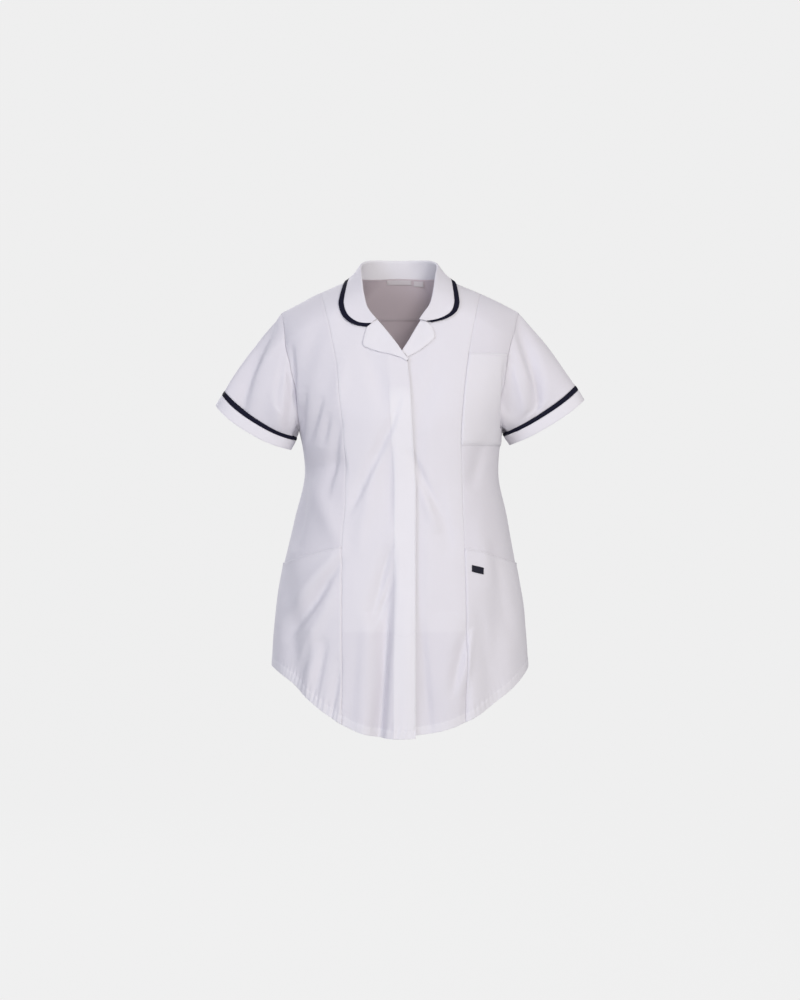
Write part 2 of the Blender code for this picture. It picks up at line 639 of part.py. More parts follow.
def make_back_facing():
    """Facing inside the back of the neck, between the shoulder seams."""
    first, last = (BACK_PLACES.index(place) for place in (-NECK_PLACE, NECK_PLACE))
    grid = back_grid()[FACING_ROW:, first: last + 1]
    outer, inner = panel(grid, "left", back=True, lift=-CLOTH - 0.0006, wall=0.0010)
    cloth("back_neck_facing", WHITE, outer, inner, turned=(last - first) // 2)


def make_labels():
    """Plain rectangles; nothing is written on them."""
    for label in LABELS:
        u = np.linspace(-0.5, 0.5, 3)[None, :] * label.width
        v = np.linspace(-0.5, 0.5, 2)[:, None] * label.height
        x = label.x + u + 0 * v
        z = label.z + v + label.slope * u
        grid = np.stack([angle_at(x, z), z], axis=-1)
        outer, inner = panel(grid, "left", back=label.back, lift=label.lift, wall=LABEL_CLOTH)
        finish = LABEL_WHITE if label.back else LABEL_NAVY
        cloth(label.name, finish, outer, inner)


# ---------------------------------------------------------------- sleeves


def ring_points(ring, side, shares):
    """Points of one sleeve ring at shares of its way round, starting at the outer fold."""
    turn = np.linspace(0.0, 2 * math.pi, 241)
    bend = 2 / RING_ROUNDNESS
    chord = np.sign(np.cos(turn)) * np.abs(np.cos(turn)) ** bend
    depth = -np.sign(np.sin(turn)) * np.abs(np.sin(turn)) ** bend * ring.half_depth
    outer = np.array([ring.outer_x, ring.outer_z])
    inner = np.array([ring.inner_x, ring.inner_z])
    across = (outer - inner) / 2
    down = unit(np.array([across[1], -across[0]]) * -1)
    droop = np.where(depth < 0, FRONT_DROOP, BACK_DROOP) * np.sin(turn) ** 2
    flat = (outer + inner) / 2 + chord[:, None] * across - droop[:, None] * down
    line = np.stack([flat[:, 0], depth, flat[:, 1]], axis=1)
    length = np.concatenate([[0.0], np.cumsum(np.linalg.norm(np.diff(line, axis=0), axis=1))])
    found = [np.interp(shares * length[-1], length, line[:, axis]) for axis in range(3)]
    points = np.stack(found, axis=1)
    return points * (-1 if side == "right" else 1, 1, 1)


def sleeve_fold_height(side, shares, downs):
    """Height of the folds of one sleeve over its rows and columns."""
    height = np.zeros((len(downs), len(shares)))
    for fold in SLEEVE_FOLDS:
        if fold.side != side:
            continue
        down = (downs - fold.down0) / (fold.down1 - fold.down0)
        centre = fold.round0 + (fold.round1 - fold.round0) * down
        across = (shares[None, :] - centre) * SLEEVE_GIRTH
        swell = np.sqrt(np.clip(4 * down * (1 - down), 0.0, 1.0))
        height = height + fold.height * swell * np.exp(-(across / fold.half_width) ** 2)
    return height


def armhole_loop(edge):
    """The armhole from the shoulder down the front and up the back, outer and inner points."""
    loops = []
    for face in range(2):
        front, back = edge[0][face], edge[1][face]
        loops.append(np.concatenate([front[::-1], back[1:-1]]))
    return loops


def make_sleeve(side, edge):
    """Sleeve, contrast tape and cuff, each a tube round the arm's hollow."""
    outer_loop, inner_loop = armhole_loop(edge)
    mirror = -1.0 if side == "right" else 1.0
    rim = np.roll(outer_loop, -1, axis=0) - np.roll(outer_loop, 1, axis=0)
    outward = unit(outer_loop - inner_loop)
    away = unit(np.cross(rim, outward)) * -mirror
    steps = np.linalg.norm(outer_loop - np.roll(outer_loop, 1, axis=0), axis=1)
    shares = np.cumsum(steps) - steps[0]
    shares = shares / steps.sum()
    rings = [ring_points(ring, side, shares) for ring in SLEEVE_RINGS[side]]
    heading = unit(rings[0] - outer_loop)
    bend = np.arctan2((heading * outward).sum(1), (heading * away).sum(1))[:, None]
    turn = np.clip(bend / math.radians(120), 0.0, 1.0)
    start = outer_loop + unit(away * (1 - turn) + outward * turn) * (SEAM_GAP + turn * 0.0003)
    seam_wall = away * np.sin(bend) - outward * np.cos(bend)
    inner_start = np.where(bend < 0, inner_loop + away * SEAM_GAP, start + seam_wall * CLOTH)

    rise = np.linspace(0.0, 1.0, SLEEVE_ROWS + 1)[:, None, None]
    sleeve = start * (1 - rise) + rings[0] * rise
    away_from_arm = unit(sleeve - sleeve.mean(axis=1, keepdims=True))
    full = np.abs(away_from_arm[..., 1:2]) * SLEEVE_FULLNESS
    full = full + np.clip(away_from_arm[..., 2:3], 0.0, 1.0) * SLEEVE_HEAD
    full = full * np.sin(rise * math.pi) + sleeve_fold_height(side, shares, rise[:, 0])[..., None]
    sleeve = sleeve + away_from_arm * full
    walls = np.concatenate([sleeve, rings[1][None], rings[2][None]])
    normals = grid_normals(walls, ring=True)
    if ((walls - walls.mean(axis=1, keepdims=True)) * normals).sum() < 0:
        normals = -normals
    inside = walls - normals * CLOTH
    inside[0] = inner_start

    last = SLEEVE_ROWS
    pieces = (
        (f"sleeve_{side}", WHITE, slice(0, last + 1)),
        (f"cuff_tape_{side}", NAVY, slice(last, last + 2)),
        (f"cuff_{side}", WHITE, slice(last + 1, last + 3)),
    )
    for name, finish, rows in pieces:
        outer, inner = walls[rows].copy(), inside[rows].copy()
        if not name.startswith("sleeve"):
            draw_in(outer, inner, ("first row",), TAPE_GAP)
        if not name.startswith("cuff_" + side):
            draw_in(outer, inner, ("last row",), TAPE_GAP)
        cloth(name, finish, outer, inner, ring=True)


# ---------------------------------------------------------------- collar and reveres


def turned_leaf(base, tip, edge, edge_outward, path):
    """Middle lines of cloth that rises from a seam, turns over at a fold and lies down outwards."""
    rise = unit(tip - base)
    fall = unit(edge - tip)
    crest = unit(rise - fall)
    apart = -unit(np.cross(path, crest))
    centre = tip - crest * FOLD_RADIUS
    before = centre - apart * FOLD_RADIUS
    after = centre + apart * FOLD_RADIUS
    reach = np.linalg.norm(edge - after, axis=1, keepdims=True)
    landing = edge - after
    landing = unit(landing - edge_outward * (landing * edge_outward).sum(1)[:, None])
    landing = unit(landing - edge_outward * LANDING)
    lines = [base, (base + before) / 2, before, tip, after]
    for t in (0.30, 0.56, 1.0):
        one = after + (fall - crest * 0.2) * reach * 0.36
        two = edge - landing * reach * 0.36
        lines.append(
            after * (1 - t) ** 3 + one * 3 * t * (1 - t) ** 2 + two * 3 * t ** 2 * (1 - t) + edge * t ** 3
        )
    return np.stack(lines, axis=1)


def neck_seam_point(station, side):
    """Middle of the body cloth's edge at one collar station."""
    sign = -1 if side == "right" else 1
    if station.neck_z is None:
        x, z, back = station.neck_x, float(neck_seam_height(station.neck_x)), True
    else:
        x, z, back = float(seam_x(FRONT_EDGE, side, station.neck_z)), station.neck_z, False
    lift = -CLOTH / 2 if back else float(overlap(x, side)) - CLOTH / 2
    return cloth_point(sign * angle_at(x, z), z, back, lift)[0]


def collar_side(side):
    """Seam, roll and edge points of half the collar, and the cloth's outward direction at the edge."""
    sign = -1 if side == "right" else 1
    rows = []
    for station in COLLAR:
        seam = neck_seam_point(station, side)
        roll = np.array([sign * station.roll_x - station.lean, station.roll_y, station.roll_z])
        z = station.edge_z + sign * station.sag
        lift = COLLAR_CLOTH / 2 + 0.0013
        angle = sign * angle_at(station.edge_x - sign * station.reach, z)
        edge, outward = cloth_point(angle, z, station.neck_z is None, lift)
        rows.append([seam, roll, edge, outward])
    return np.array(rows)


def two_faces(lines, thickness):
    """Outer and inner faces of cloth about its middle lines."""
    normals = grid_normals(lines)
    return lines + normals * thickness / 2, lines - normals * thickness / 2


def make_collar():
    """Collar in one piece from gorge to gorge, with contrast tape along its edge."""
    rows = np.concatenate([collar_side("right")[::-1], collar_side("left")[1:]])
    seam, roll, edge, outward = (rows[:, column] for column in range(4))
    path = unit(np.gradient(roll, axis=0))
    seam = seam + unit(roll - seam) * (COLLAR_CLOTH / 2 + SEAM_GAP)
    lines = turned_leaf(seam, roll, edge, unit(outward), path)
    tip = lines[:, -1]
    inward = unit(lines[:, -2] - tip)
    ends = [tip + inward * width for width in (TRIM_WIDTH + SEAM_GAP, TRIM_WIDTH, 0.0)]
    lines = np.concatenate([lines[:, :-1], np.stack(ends, axis=1)], axis=1)
    outer, inner = two_faces(lines, COLLAR_CLOTH)
    cloth("collar", WHITE, outer[:, :-2], inner[:, :-2])
    cloth("collar_tape", NAVY, outer[:, -2:], inner[:, -2:])


def make_revere(side):
    """Turned-out front edge below the collar, lying on the centre front."""
    sign = -1 if side == "right" else 1
    rows = REVERES if side == "right" else REVERES[:LEFT_REVERE_ROWS]
    base, tip, edge, outwards = [], [], [], []
    for row in rows:
        x = float(seam_x(FRONT_EDGE, side, row.roll_z))
        angle = sign * angle_at(x, row.roll_z)
        lift = float(overlap(x, side))
        point, outward = cloth_point(angle, row.roll_z, False, lift - CLOTH / 2)
        beyond, _ = cloth_point(sign * angle_at(x - 0.003, row.roll_z), row.roll_z, False, lift - CLOTH / 2)
        inward = unit(beyond - point)
        base.append(point + inward * 0.0012)
        tip.append(point + inward * 0.0030 + outward * 0.0016)
        lift = float(overlap(row.edge_x, side)) + COLLAR_CLOTH / 2 + LAY_GAP
        point, outward = cloth_point(sign * angle_at(row.edge_x, row.edge_z), row.edge_z, False, lift)
        edge.append(point)
        outwards.append(outward)
    base, tip, edge, outwards = map(np.array, (base, tip, edge, outwards))
    path = unit(np.gradient(tip, axis=0)) * (-1 if side == "right" else 1)
    lines = turned_leaf(base, tip, edge, outwards, path)
    outer, inner = two_faces(lines, COLLAR_CLOTH)
    cloth(f"revere_{side}", WHITE, outer, inner)


# ---------------------------------------------------------------- the tunic

for old in list(bpy.data.objects):
    bpy.data.objects.remove(old, do_unlink=True)
parts = bpy.data.collections.new("maternity_tunic")
bpy.context.scene.collection.children.link(parts)

armholes = make_body()
make_pockets()
make_fly()
make_back_facing()
make_labels()
for wearer_side in ("right", "left"):
    make_sleeve(wearer_side, armholes[wearer_side])
    make_revere(wearer_side)
make_collar()
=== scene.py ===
"""Dressed model of a short-sleeved maternity tunic with reveres, princess seams and a concealed front.

Metres, +Z up, the wearer faces -Y. "right" and "left" in the names are the wearer's.
"""
import math
from collections import namedtuple

import bpy
import numpy as np
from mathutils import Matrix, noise


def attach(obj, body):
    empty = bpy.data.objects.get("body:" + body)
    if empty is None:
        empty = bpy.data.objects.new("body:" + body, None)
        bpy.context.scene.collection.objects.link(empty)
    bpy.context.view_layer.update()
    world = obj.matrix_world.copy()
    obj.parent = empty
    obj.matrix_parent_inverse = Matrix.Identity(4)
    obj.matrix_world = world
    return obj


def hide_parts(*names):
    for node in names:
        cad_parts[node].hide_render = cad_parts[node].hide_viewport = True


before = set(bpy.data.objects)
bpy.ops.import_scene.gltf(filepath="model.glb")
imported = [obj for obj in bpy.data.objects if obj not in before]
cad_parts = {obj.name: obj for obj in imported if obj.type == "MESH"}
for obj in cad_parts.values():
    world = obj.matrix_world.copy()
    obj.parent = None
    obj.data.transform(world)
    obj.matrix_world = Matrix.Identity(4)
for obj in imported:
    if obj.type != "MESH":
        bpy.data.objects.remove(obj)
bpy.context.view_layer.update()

# ---------------------------------------------------------------- back
# The back is one piece of white polyester and cotton poplin, from the hem to the neck. It hangs
# loose from the shoulder seams, is drawn in a little at the waist, and is joined to the side
# fronts at the side seams. Its hem is turned up twice and stitched.

CLOTH = 0.0014          # wall of one layer of body cloth
SEAM_GAP = 0.0003       # between neighbouring pieces
NECK_X = 0.072          # neck end of the shoulder seam
NECK_Z = 0.010
NECK_DOME = 0.062       # how far the surface would rise at the centre, if the neck were closed
NAPE_RISE = 0.003
SHOULDER_SLOPE = 0.455
SHOULDER_CROWN = 0.0022
SHOULDER_X = 0.2045     # outer end of the shoulder seam
SHOULDER_TURN = 0.055   # height over which front and back round away from the shoulder seam
SHOULDER_POWER = 1.7
SHOULDER_CLOSING = 0.008    # how far below the shoulder seam its closing is felt
ROUNDNESS = 2.3         # superellipse exponent of the level sections
SIGN = {"right": -1, "left": 1}

# Level sections of the filled-out tunic; the middle of the waist hangs a little to the left.
Section = namedtuple("Section", "z half_width front_depth back_depth middle")
SECTIONS = [Section(*row) for row in (
    (-0.790, 0.2225, 0.165, 0.122, 0.0),
    (-0.660, 0.2190, 0.162, 0.120, 0.0),
    (-0.560, 0.2115, 0.157, 0.117, 0.0),
    (-0.480, 0.1980, 0.149, 0.109, 0.0),
    (-0.400, 0.1805, 0.139, 0.094, 0.0020),
    (-0.325, 0.1665, 0.133, 0.087, 0.0032),
    (-0.252, 0.1755, 0.133, 0.102, 0.0012),
    (-0.190, 0.1970, 0.123, 0.106, 0.0),
    (-0.130, 0.2050, 0.104, 0.103, 0.0),
    (-0.060, 0.2090, 0.078, 0.088, 0.0),
    (0.010, 0.2130, 0.055, 0.062, 0.0),
    (0.050, 0.2140, 0.046, 0.050, 0.0),
)]

# Folds of the hanging cloth: a line from (x0, z0) to (x1, z1), its half width and its height. One
# with no lean runs out sharply at its ends; the others fade there, and lean to one side.
Fold = namedtuple("Fold", "x0 z0 x1 z1 half_width height lean", defaults=(None,))
FOLDS = {
    "front": [Fold(*row) for row in (
        (0.010, -0.520, 0.008, -0.900, 0.020, 0.0040),
        (-0.050, -0.560, -0.066, -0.900, 0.015, 0.0050),
        (-0.160, -0.318, -0.088, -0.312, 0.020, -0.0060),
        (0.078, -0.560, 0.075, -0.900, 0.020, 0.0040),
        (-0.013, -0.445, -0.050, -0.970, 0.0125, -0.0175, 0.45),
        (0.168, -0.460, 0.150, -0.860, 0.0220, -0.0070, 0.0),
        (-0.190, -0.470, -0.170, -0.800, 0.0170, -0.0080, 0.0),
        (-0.004, -0.225, -0.091, -0.408, 0.0085, -0.0062, 0.35),
        (0.002, -0.190, -0.020, -0.275, 0.0060, -0.0026, 0.40),
        (-0.0165, -0.270, -0.0175, -0.430, 0.0090, -0.0042, 0.50),
        (-0.010, -0.428, -0.056, -0.592, 0.0075, -0.0055, 0.35),
        (-0.008, -0.500, -0.049, -0.592, 0.0055, -0.0036, 0.30),
        (-0.030, -0.590, -0.052, -0.800, 0.0110, 0.0042, 0.0),
        (-0.012, -0.620, -0.010, -0.860, 0.0060, 0.0016, 0.0),
        (-0.068, -0.560, -0.084, -0.770, 0.0090, -0.0014, 0.20),
        (-0.040, -0.300, -0.072, -0.470, 0.0130, 0.0042, 0.0),
        (-0.1830, -0.105, -0.1825, -0.300, 0.0048, -0.0085, 0.0),
        (0.1775, -0.130, 0.1765, -0.310, 0.0050, -0.0085, 0.0),
        (-0.160, -0.180, -0.180, -0.330, 0.0090, -0.0066, 0.35),
        (-0.130, -0.195, -0.155, -0.280, 0.0075, -0.0048, 0.30),
        (-0.118, -0.225, -0.131, -0.285, 0.0065, -0.0036, 0.20),
        (-0.099, -0.235, -0.124, -0.375, 0.0085, -0.0048, 0.35),
        (-0.150, -0.335, -0.098, -0.455, 0.0160, 0.0050, 0.0),
        (-0.160, -0.300, -0.180, -0.460, 0.0140, -0.0066, 0.20),
        (-0.092, -0.468, -0.198, -0.612, 0.0085, -0.0070, 0.20),
        (-0.086, -0.440, -0.200, -0.570, 0.0110, 0.0050, 0.0),
        (-0.112, -0.505, -0.176, -0.595, 0.0080, -0.0050, 0.25),
        (-0.104, -0.520, -0.182, -0.660, 0.0110, 0.0050, 0.0),
        (-0.150, -0.590, -0.172, -0.685, 0.0110, -0.0046, 0.30),
        (-0.122, -0.600, -0.146, -0.715, 0.0090, -0.0046, 0.30),
        (-0.098, -0.630, -0.118, -0.760, 0.0070, -0.0042, 0.25),
        (-0.134, -0.610, -0.158, -0.705, 0.0085, 0.0030, 0.0),
        (0.014, -0.285, 0.068, -0.402, 0.0080, -0.0048, 0.35),
        (0.026, -0.320, 0.064, -0.430, 0.0095, 0.0042, 0.0),
        (0.060, -0.340, 0.086, -0.470, 0.0120, -0.0036, 0.20),
        (0.116, -0.575, 0.082, -0.705, 0.0080, -0.0052, 0.35),
        (0.118, -0.585, 0.106, -0.700, 0.0080, 0.0034, 0.0),
        (0.112, -0.655, 0.108, -0.760, 0.0065, -0.0040, 0.0),
        (0.034, -0.570, 0.052, -0.800, 0.0100, -0.0046, 0.30),
        (-0.058, -0.105, -0.016, -0.235, 0.0160, -0.0036, 0.0),
        (0.058, -0.130, 0.034, -0.260, 0.0150, -0.0034, 0.0),
        (-0.130, -0.060, -0.176, -0.190, 0.0170, -0.0040, 0.0),
        (-0.092, -0.120, -0.110, -0.230, 0.0130, 0.0030, 0.0),
        (0.146, -0.262, 0.118, -0.360, 0.0120, -0.0044, 0.20),
        (0.120, -0.400, 0.176, -0.560, 0.0150, 0.0040, 0.0),
        (0.152, -0.440, 0.188, -0.620, 0.0130, -0.0044, 0.20),
        (0.128, -0.520, 0.150, -0.700, 0.0140, -0.0034, 0.20),
    )],
    "back": [Fold(*row) for row in (
        (-0.060, -0.400, -0.085, -0.900, 0.024, -0.0065),
        (0.020, -0.380, 0.030, -0.900, 0.025, -0.0060),
        (0.110, -0.430, 0.130, -0.900, 0.026, -0.0060),
        (-0.165, -0.255, -0.050, -0.360, 0.022, -0.0045),
        (0.165, -0.260, 0.040, -0.375, 0.022, -0.0045),
        (-0.020, -0.280, -0.032, -0.700, 0.0100, -0.0022, 0.3),
        (0.062, -0.300, 0.074, -0.640, 0.0100, -0.0020, -0.3),
        (-0.110, -0.420, -0.140, -0.740, 0.0120, -0.0024, 0.2),
        (0.160, -0.440, 0.176, -0.700, 0.0120, -0.0022, 0.0),
        (-0.140, -0.230, -0.070, -0.300, 0.0080, -0.0020, 0.3),
        (0.140, -0.235, 0.075, -0.310, 0.0080, -0.0020, 0.3),
        (-0.150, -0.300, -0.080, -0.345, 0.0080, -0.0016, 0.0),
        (0.145, -0.310, 0.080, -0.350, 0.0080, -0.0016, 0.0),
        (-0.030, -0.150, 0.000, -0.250, 0.0150, -0.0014, 0.0),
    )],
}
SIDE_CALM = 0.42        # the folds die away towards the side seams from here
Rumple = namedtuple("Rumple", "waves height place")
RUMPLES = Rumple(15.0, 0.0018, 1.0), Rumple(34.0, 0.00060, 4.0)     # waves to the metre
RUMPLE_STRETCH = 0.6    # the waves are longer up and down than across


def eased(share):
    """A share from 0 to 1 that starts and ends gently."""
    return share * share * (3 - 2 * share)


def beside(away, reach):
    """1 on a line, fading to 0 over a reach from it."""
    return np.exp(-(away / reach) ** 2)


def below(at, edge, width):
    """1 under an edge and 0 over it, turning over about a width."""
    return 1 / (1 + np.exp(np.minimum((at - edge) / width, 60.0)))


def unit(vectors):
    return vectors / np.maximum(np.linalg.norm(vectors, axis=-1, keepdims=True), 1e-12)


def between(value, slope, span, low, t):
    """Smooth curve from each value to the next, which leaves them at the given slopes."""
    bend = span * t * (1 - t) * (slope[low] * (1 - t) - slope[low + 1] * t)
    return value[low] * (1 - eased(t)) + value[low + 1] * eased(t) + bend


def smooth(rows, column, at):
    """One column of a table at any height, on a smooth curve through its rows."""
    key = np.array([row.z for row in rows])
    value = np.array([getattr(row, column) for row in rows])
    secant = np.diff(value) / np.diff(key)
    turns = secant[:-1] * secant[1:] <= 0
    slope = np.gradient(value, key)
    limit = 3 * np.minimum(np.abs(secant[:-1]), np.abs(secant[1:]))
    slope[1:-1] = np.where(turns, 0.0, np.clip(slope[1:-1], -limit, limit))
    at = np.asarray(at, float)
    low = np.clip(np.searchsorted(key, at) - 1, 0, len(key) - 2)
    span = key[low + 1] - key[low]
    return between(value, slope, span, low, np.clip((at - key[low]) / span, 0.0, 1.0))


def shoulder_height(x):
    """Height of the shoulder seam, carried on over the neck as a dome."""
    x = np.abs(x)
    along = np.clip((x - NECK_X) / (SHOULDER_X - NECK_X), 0.0, 1.0)
    outside = NECK_Z - SHOULDER_SLOPE * (x - NECK_X) + SHOULDER_CROWN * np.sin(along * math.pi)
    return np.where(x < NECK_X, NECK_Z + NECK_DOME * (1 - (x / NECK_X) ** 2), outside)


SHOULDER_END_Z = float(shoulder_height(SHOULDER_X))


def neck_seam_height(x):
    return NECK_Z + NAPE_RISE * (1 - (np.abs(x) / NECK_X) ** 2)


def angle_at(x, z):
    """Angle from the centre line at which a level section passes x."""
    share = np.abs(x) / smooth(SECTIONS, "half_width", z)
    return np.sign(x) * np.arcsin(np.clip(share, 0.0, 1.0) ** (ROUNDNESS / 2))


def place_at(x, z):
    """(angle, z) pairs of places given by their distance from the centre line and their height."""
    return np.stack([angle_at(x, z), z], axis=-1)


def section_x(angle, z):
    """Distance from the centre line at which a level section passes an angle."""
    return np.sign(angle) * smooth(SECTIONS, "half_width", z) * np.abs(np.sin(angle)) ** (2 / ROUNDNESS)


def plain_point(angle, z, back):
    """Point of the cloth's outer face before any fold."""
    x = section_x(angle, z)
    drop = np.clip((shoulder_height(x) - z) / SHOULDER_TURN, 0.0, 1.0)
    turn = (1 - (1 - drop) ** SHOULDER_POWER) ** (1 / SHOULDER_POWER)
    depth = smooth(SECTIONS, "back_depth" if back else "front_depth", z)
    y = depth * np.abs(np.cos(angle)) ** (2 / ROUNDNESS) * turn
    return np.stack([x + smooth(SECTIONS, "middle", z), y if back else -y, z + 0 * x], axis=-1)


def rumple(points):
    """Small unevenness of the cloth."""
    flat = points.reshape(-1, 3)
    height = np.zeros(len(flat))
    for waves, size, place in RUMPLES:
        scaled = flat * (waves, waves, waves * RUMPLE_STRETCH) + place
        height += size * np.array([noise.noise(point) for point in scaled.tolist()])
    return height.reshape(points.shape[:-1])


def fold_height(x, z, back):
    """Height of all the folds of one face at a place on it."""
    height = np.zeros(np.shape(x))
    for fold in FOLDS["back" if back else "front"]:
        run = np.array([fold.x1 - fold.x0, fold.z1 - fold.z0])
        length = math.hypot(*run)
        along = ((x - fold.x0) * run[0] + (z - fold.z0) * run[1]) / length ** 2
        across = ((x - fold.x0) * run[1] - (z - fold.z0) * run[0]) / length
        swell = np.clip(4 * along * (1 - along), 0.0, 1.0)
        half_width = fold.half_width
        if fold.lean is None:
            swell = np.sqrt(swell)
        else:
            half_width = half_width * (1 + fold.lean * np.tanh(across / half_width))
        height = height + fold.height * swell * beside(across, half_width)
    return height


def cloth_point(angle, z, back=False, lift=0.0):
    """Point at a height over the cloth's outer face, and the direction out of the cloth there."""
    angle, z = np.broadcast_arrays(np.asarray(angle, float), np.asarray(z, float))
    here = plain_point(angle, z, back)
    before = np.maximum(angle - 1e-3, -math.pi / 2)
    after = np.minimum(angle + 1e-3, math.pi / 2)
    round_body = plain_point(after, z, back) - plain_point(before, z, back)
    upward = here - plain_point(angle, z - 2e-5, back)
    outward = unit(np.cross(round_body, upward)) * (-1 if back else 1)
    calm = eased(np.clip(np.cos(angle) / SIDE_CALM, 0.0, 1.0))
    height = fold_height(here[..., 0], z, back) * calm + rumple(here) + lift
    return here + outward * np.expand_dims(height, -1), outward


# The pieces' edges. Distances of the seams from the centre line, and the hem's height, which
# rises from the centre to the side seams.
ARMPIT_Z = -0.252
MOUTH_Z = -0.126        # mouth of the chest pocket
SeamX = namedtuple("SeamX", "z right left")
ARMHOLE = [SeamX(*row) for row in (
    (-0.2495, 0.1750, 0.1728),
    (-0.243, 0.1754, 0.1716),
    (-0.229, 0.1769, 0.1718),
    (-0.200, 0.1820, 0.1780),
    (-0.157, 0.1870, 0.1815),
    (-0.137, 0.1887, 0.1825),
    (-0.114, 0.1942, 0.1870),
    (-0.091, 0.1965, 0.1945),
    (-0.050, 0.2045, 0.2045),
)]
HemLine = namedtuple("HemLine", "centre curve")
HEM = {"right": HemLine(-0.7675, 2.9), "left": HemLine(-0.7620, 2.0), "back": HemLine(-0.760, 2.5)}
HEM_SIDE = -0.656
HEM_DEPTH = 0.0140      # from the edge to the row of stitches

# Rows of points, from the hem up: close together on the hem, then even to the armpit, and on to
# the chest and the shoulder. Columns are closer together beside a seam.
HEM_RISES = (0.0, 0.0006, 0.0016, 0.0032, 0.0052, 0.0072, 0.0092, 0.0112, 0.0128,
             0.0136, 0.0142, 0.0148, 0.0156, 0.0170)
HEM_STITCH_ROW = HEM_RISES.index(0.0142) - 0.15
HANGING = np.linspace(0.0, 1.0, 161)
HEM_LIFT = np.concatenate([HEM_RISES, np.full(len(HANGING) - 1, HEM_RISES[-1])])[:, None]
HANG = np.concatenate([np.zeros(len(HEM_RISES)), HANGING[1:]])[:, None]
ARMPIT_ROW = len(HANG) - 1
CHEST = np.linspace(0.0, 1.0, 46)
CROWN = 1 - (1 - np.linspace(0.0, 1.0, 52)) ** 1.25
FACING_FOOT = 0.475     # share of the crown below the neck facing
FACING_ROW = ARMPIT_ROW + len(CHEST) - 1 + int(np.argmin(np.abs(CROWN - FACING_FOOT)))
NEAR_SEAM = np.array((0.0, 0.0005, 0.0012, 0.0022, 0.0037))
CLOTH_STEP = 0.0030
NECK_PLACE = 0.35       # share of half the back's columns that meets the neck
NECK_COLUMNS = 30
SHOULDER_COLUMNS = 57
HALF_BACK = 0.28        # width of half the back, round the body

# Dips and puckers of stitched cloth.
SEAM_DIP = 0.0005
SEAM_ROLL = 0.0015
PUCKER = 0.00028
PUCKER_REACH = 0.007
PUCKER_LENGTH = 0.0098
HEM_RISE = 0.0005
HEM_PUCKER = 0.00050
PUCKERED_SIDE = 2.5     # the right side of the hem is drawn up harder than the left
STITCH_DIP = 0.00035
STITCH_ROLL = 0.0008
HEM_END = 0.00035       # height over which the turned hem ends
HEM_CALM = 0.006        # height over which its puckers fade above the stitches
HEM_LAYERS = 0.6        # how much whiter the hem looks than single cloth


def across_piece(width):
    """Shares across a piece, closer together beside both of its seams."""
    inside = width - 2 * NEAR_SEAM[-1]
    middle = np.linspace(NEAR_SEAM[-1], width - NEAR_SEAM[-1], round(inside / CLOTH_STEP) + 1)
    return np.concatenate([NEAR_SEAM[:-1], middle, width - NEAR_SEAM[-2::-1]]) / width


def hem_height(angle, face):
    line = HEM[face]
    return HEM_SIDE + (line.centre - HEM_SIDE) * np.abs(np.cos(angle)) ** line.curve


def hem_slant(angle, face):
    """How much longer the slanting hem is than its level run."""
    angle = np.abs(angle)
    low = np.maximum(angle - 0.004, 0.0)
    high = np.minimum(angle + 0.004, math.pi / 2)
    here, back = hem_height(angle, face), face == "back"
    run = np.linalg.norm(plain_point(high, here, back) - plain_point(low, here, back), axis=-1)
    return np.sqrt(1 + ((hem_height(high, face) - hem_height(low, face)) / run) ** 2)


def row_height(angle, face):
    """Heights of the rows from the hem to the armpit."""
    low = hem_height(angle, face)
    slant = hem_slant(angle, face)
    return low + HEM_LIFT * slant + (ARMPIT_Z - low - HEM_LIFT[-1] * slant) * HANG


def climb(low, high, shares):
    return low + (high - low) * shares


def seam_line(rows, side, heights):
    """A seam above the armpit as (angle, z) pairs."""
    return place_at(smooth(rows, side, heights), heights)


def shoulder_line(from_x, to_x, across):
    x = climb(from_x, to_x, across)
    return place_at(x, shoulder_height(x))


def armhole_line(side):
    """Armhole edge of the chest rows, closer together where it curves in to the armpit."""
    shares = np.interp(CHEST, (0.0, 0.2, 0.4, 0.6, 0.8, 1.0), (0.0, 0.03, 0.12, 0.32, 0.63, 1.0))
    line = seam_line(ARMHOLE, side, climb(ARMPIT_Z, MOUTH_Z, shares))
    line[0] = (math.pi / 2, ARMPIT_Z)
    return line


def fill(left, right, bottom, top, rise, across, reach=1):
    """Grid between four edge lines; the bend of its sides fades sooner where reach is higher."""
    u = across[None, :, None]
    v = rise[:, None, None]
    ends = (1 - v) * bottom[None] + v * top[None]
    left_bend = left[:, None] - ends[:, :1]
    right_bend = right[:, None] - ends[:, -1:]
    return ends + (1 - u) ** reach * left_bend + u ** reach * right_bend


def lengths(points, axis=0):
    """Distance of each point from the first row or column of its grid, along the cloth."""
    steps = np.linalg.norm(np.diff(points, axis=axis), axis=-1)
    return np.concatenate([np.zeros_like(np.take(steps, [0], axis)), np.cumsum(steps, axis)], axis)


def pucker_wave(along):
    """Uneven ripples along a row of stitches, from -1 to 1."""
    return np.sin(along * 2 * math.pi / PUCKER_LENGTH + 2.3 * np.sin(along * 41) + 1.3 * np.sin(along * 97))


def seam_shape(points, edges):
    """How the cloth dips and puckers beside its seams."""
    across, up = lengths(points, 1), lengths(points)
    lift = np.zeros(points.shape[:2])
    for edge in edges:
        away, along = {
            "last row": (up[-1] - up, across[-1:]),
            "first column": (across, up[:, :1]),
            "last column": (across[:, -1:] - across, up[:, -1:]),
        }[edge]
        strength = 0.6 + 0.4 * np.sin(along * 23 + 1.0)
        lift -= SEAM_DIP * beside(away, SEAM_ROLL)
        lift += PUCKER * strength * pucker_wave(along) * np.exp(-away / PUCKER_REACH)
    return lift


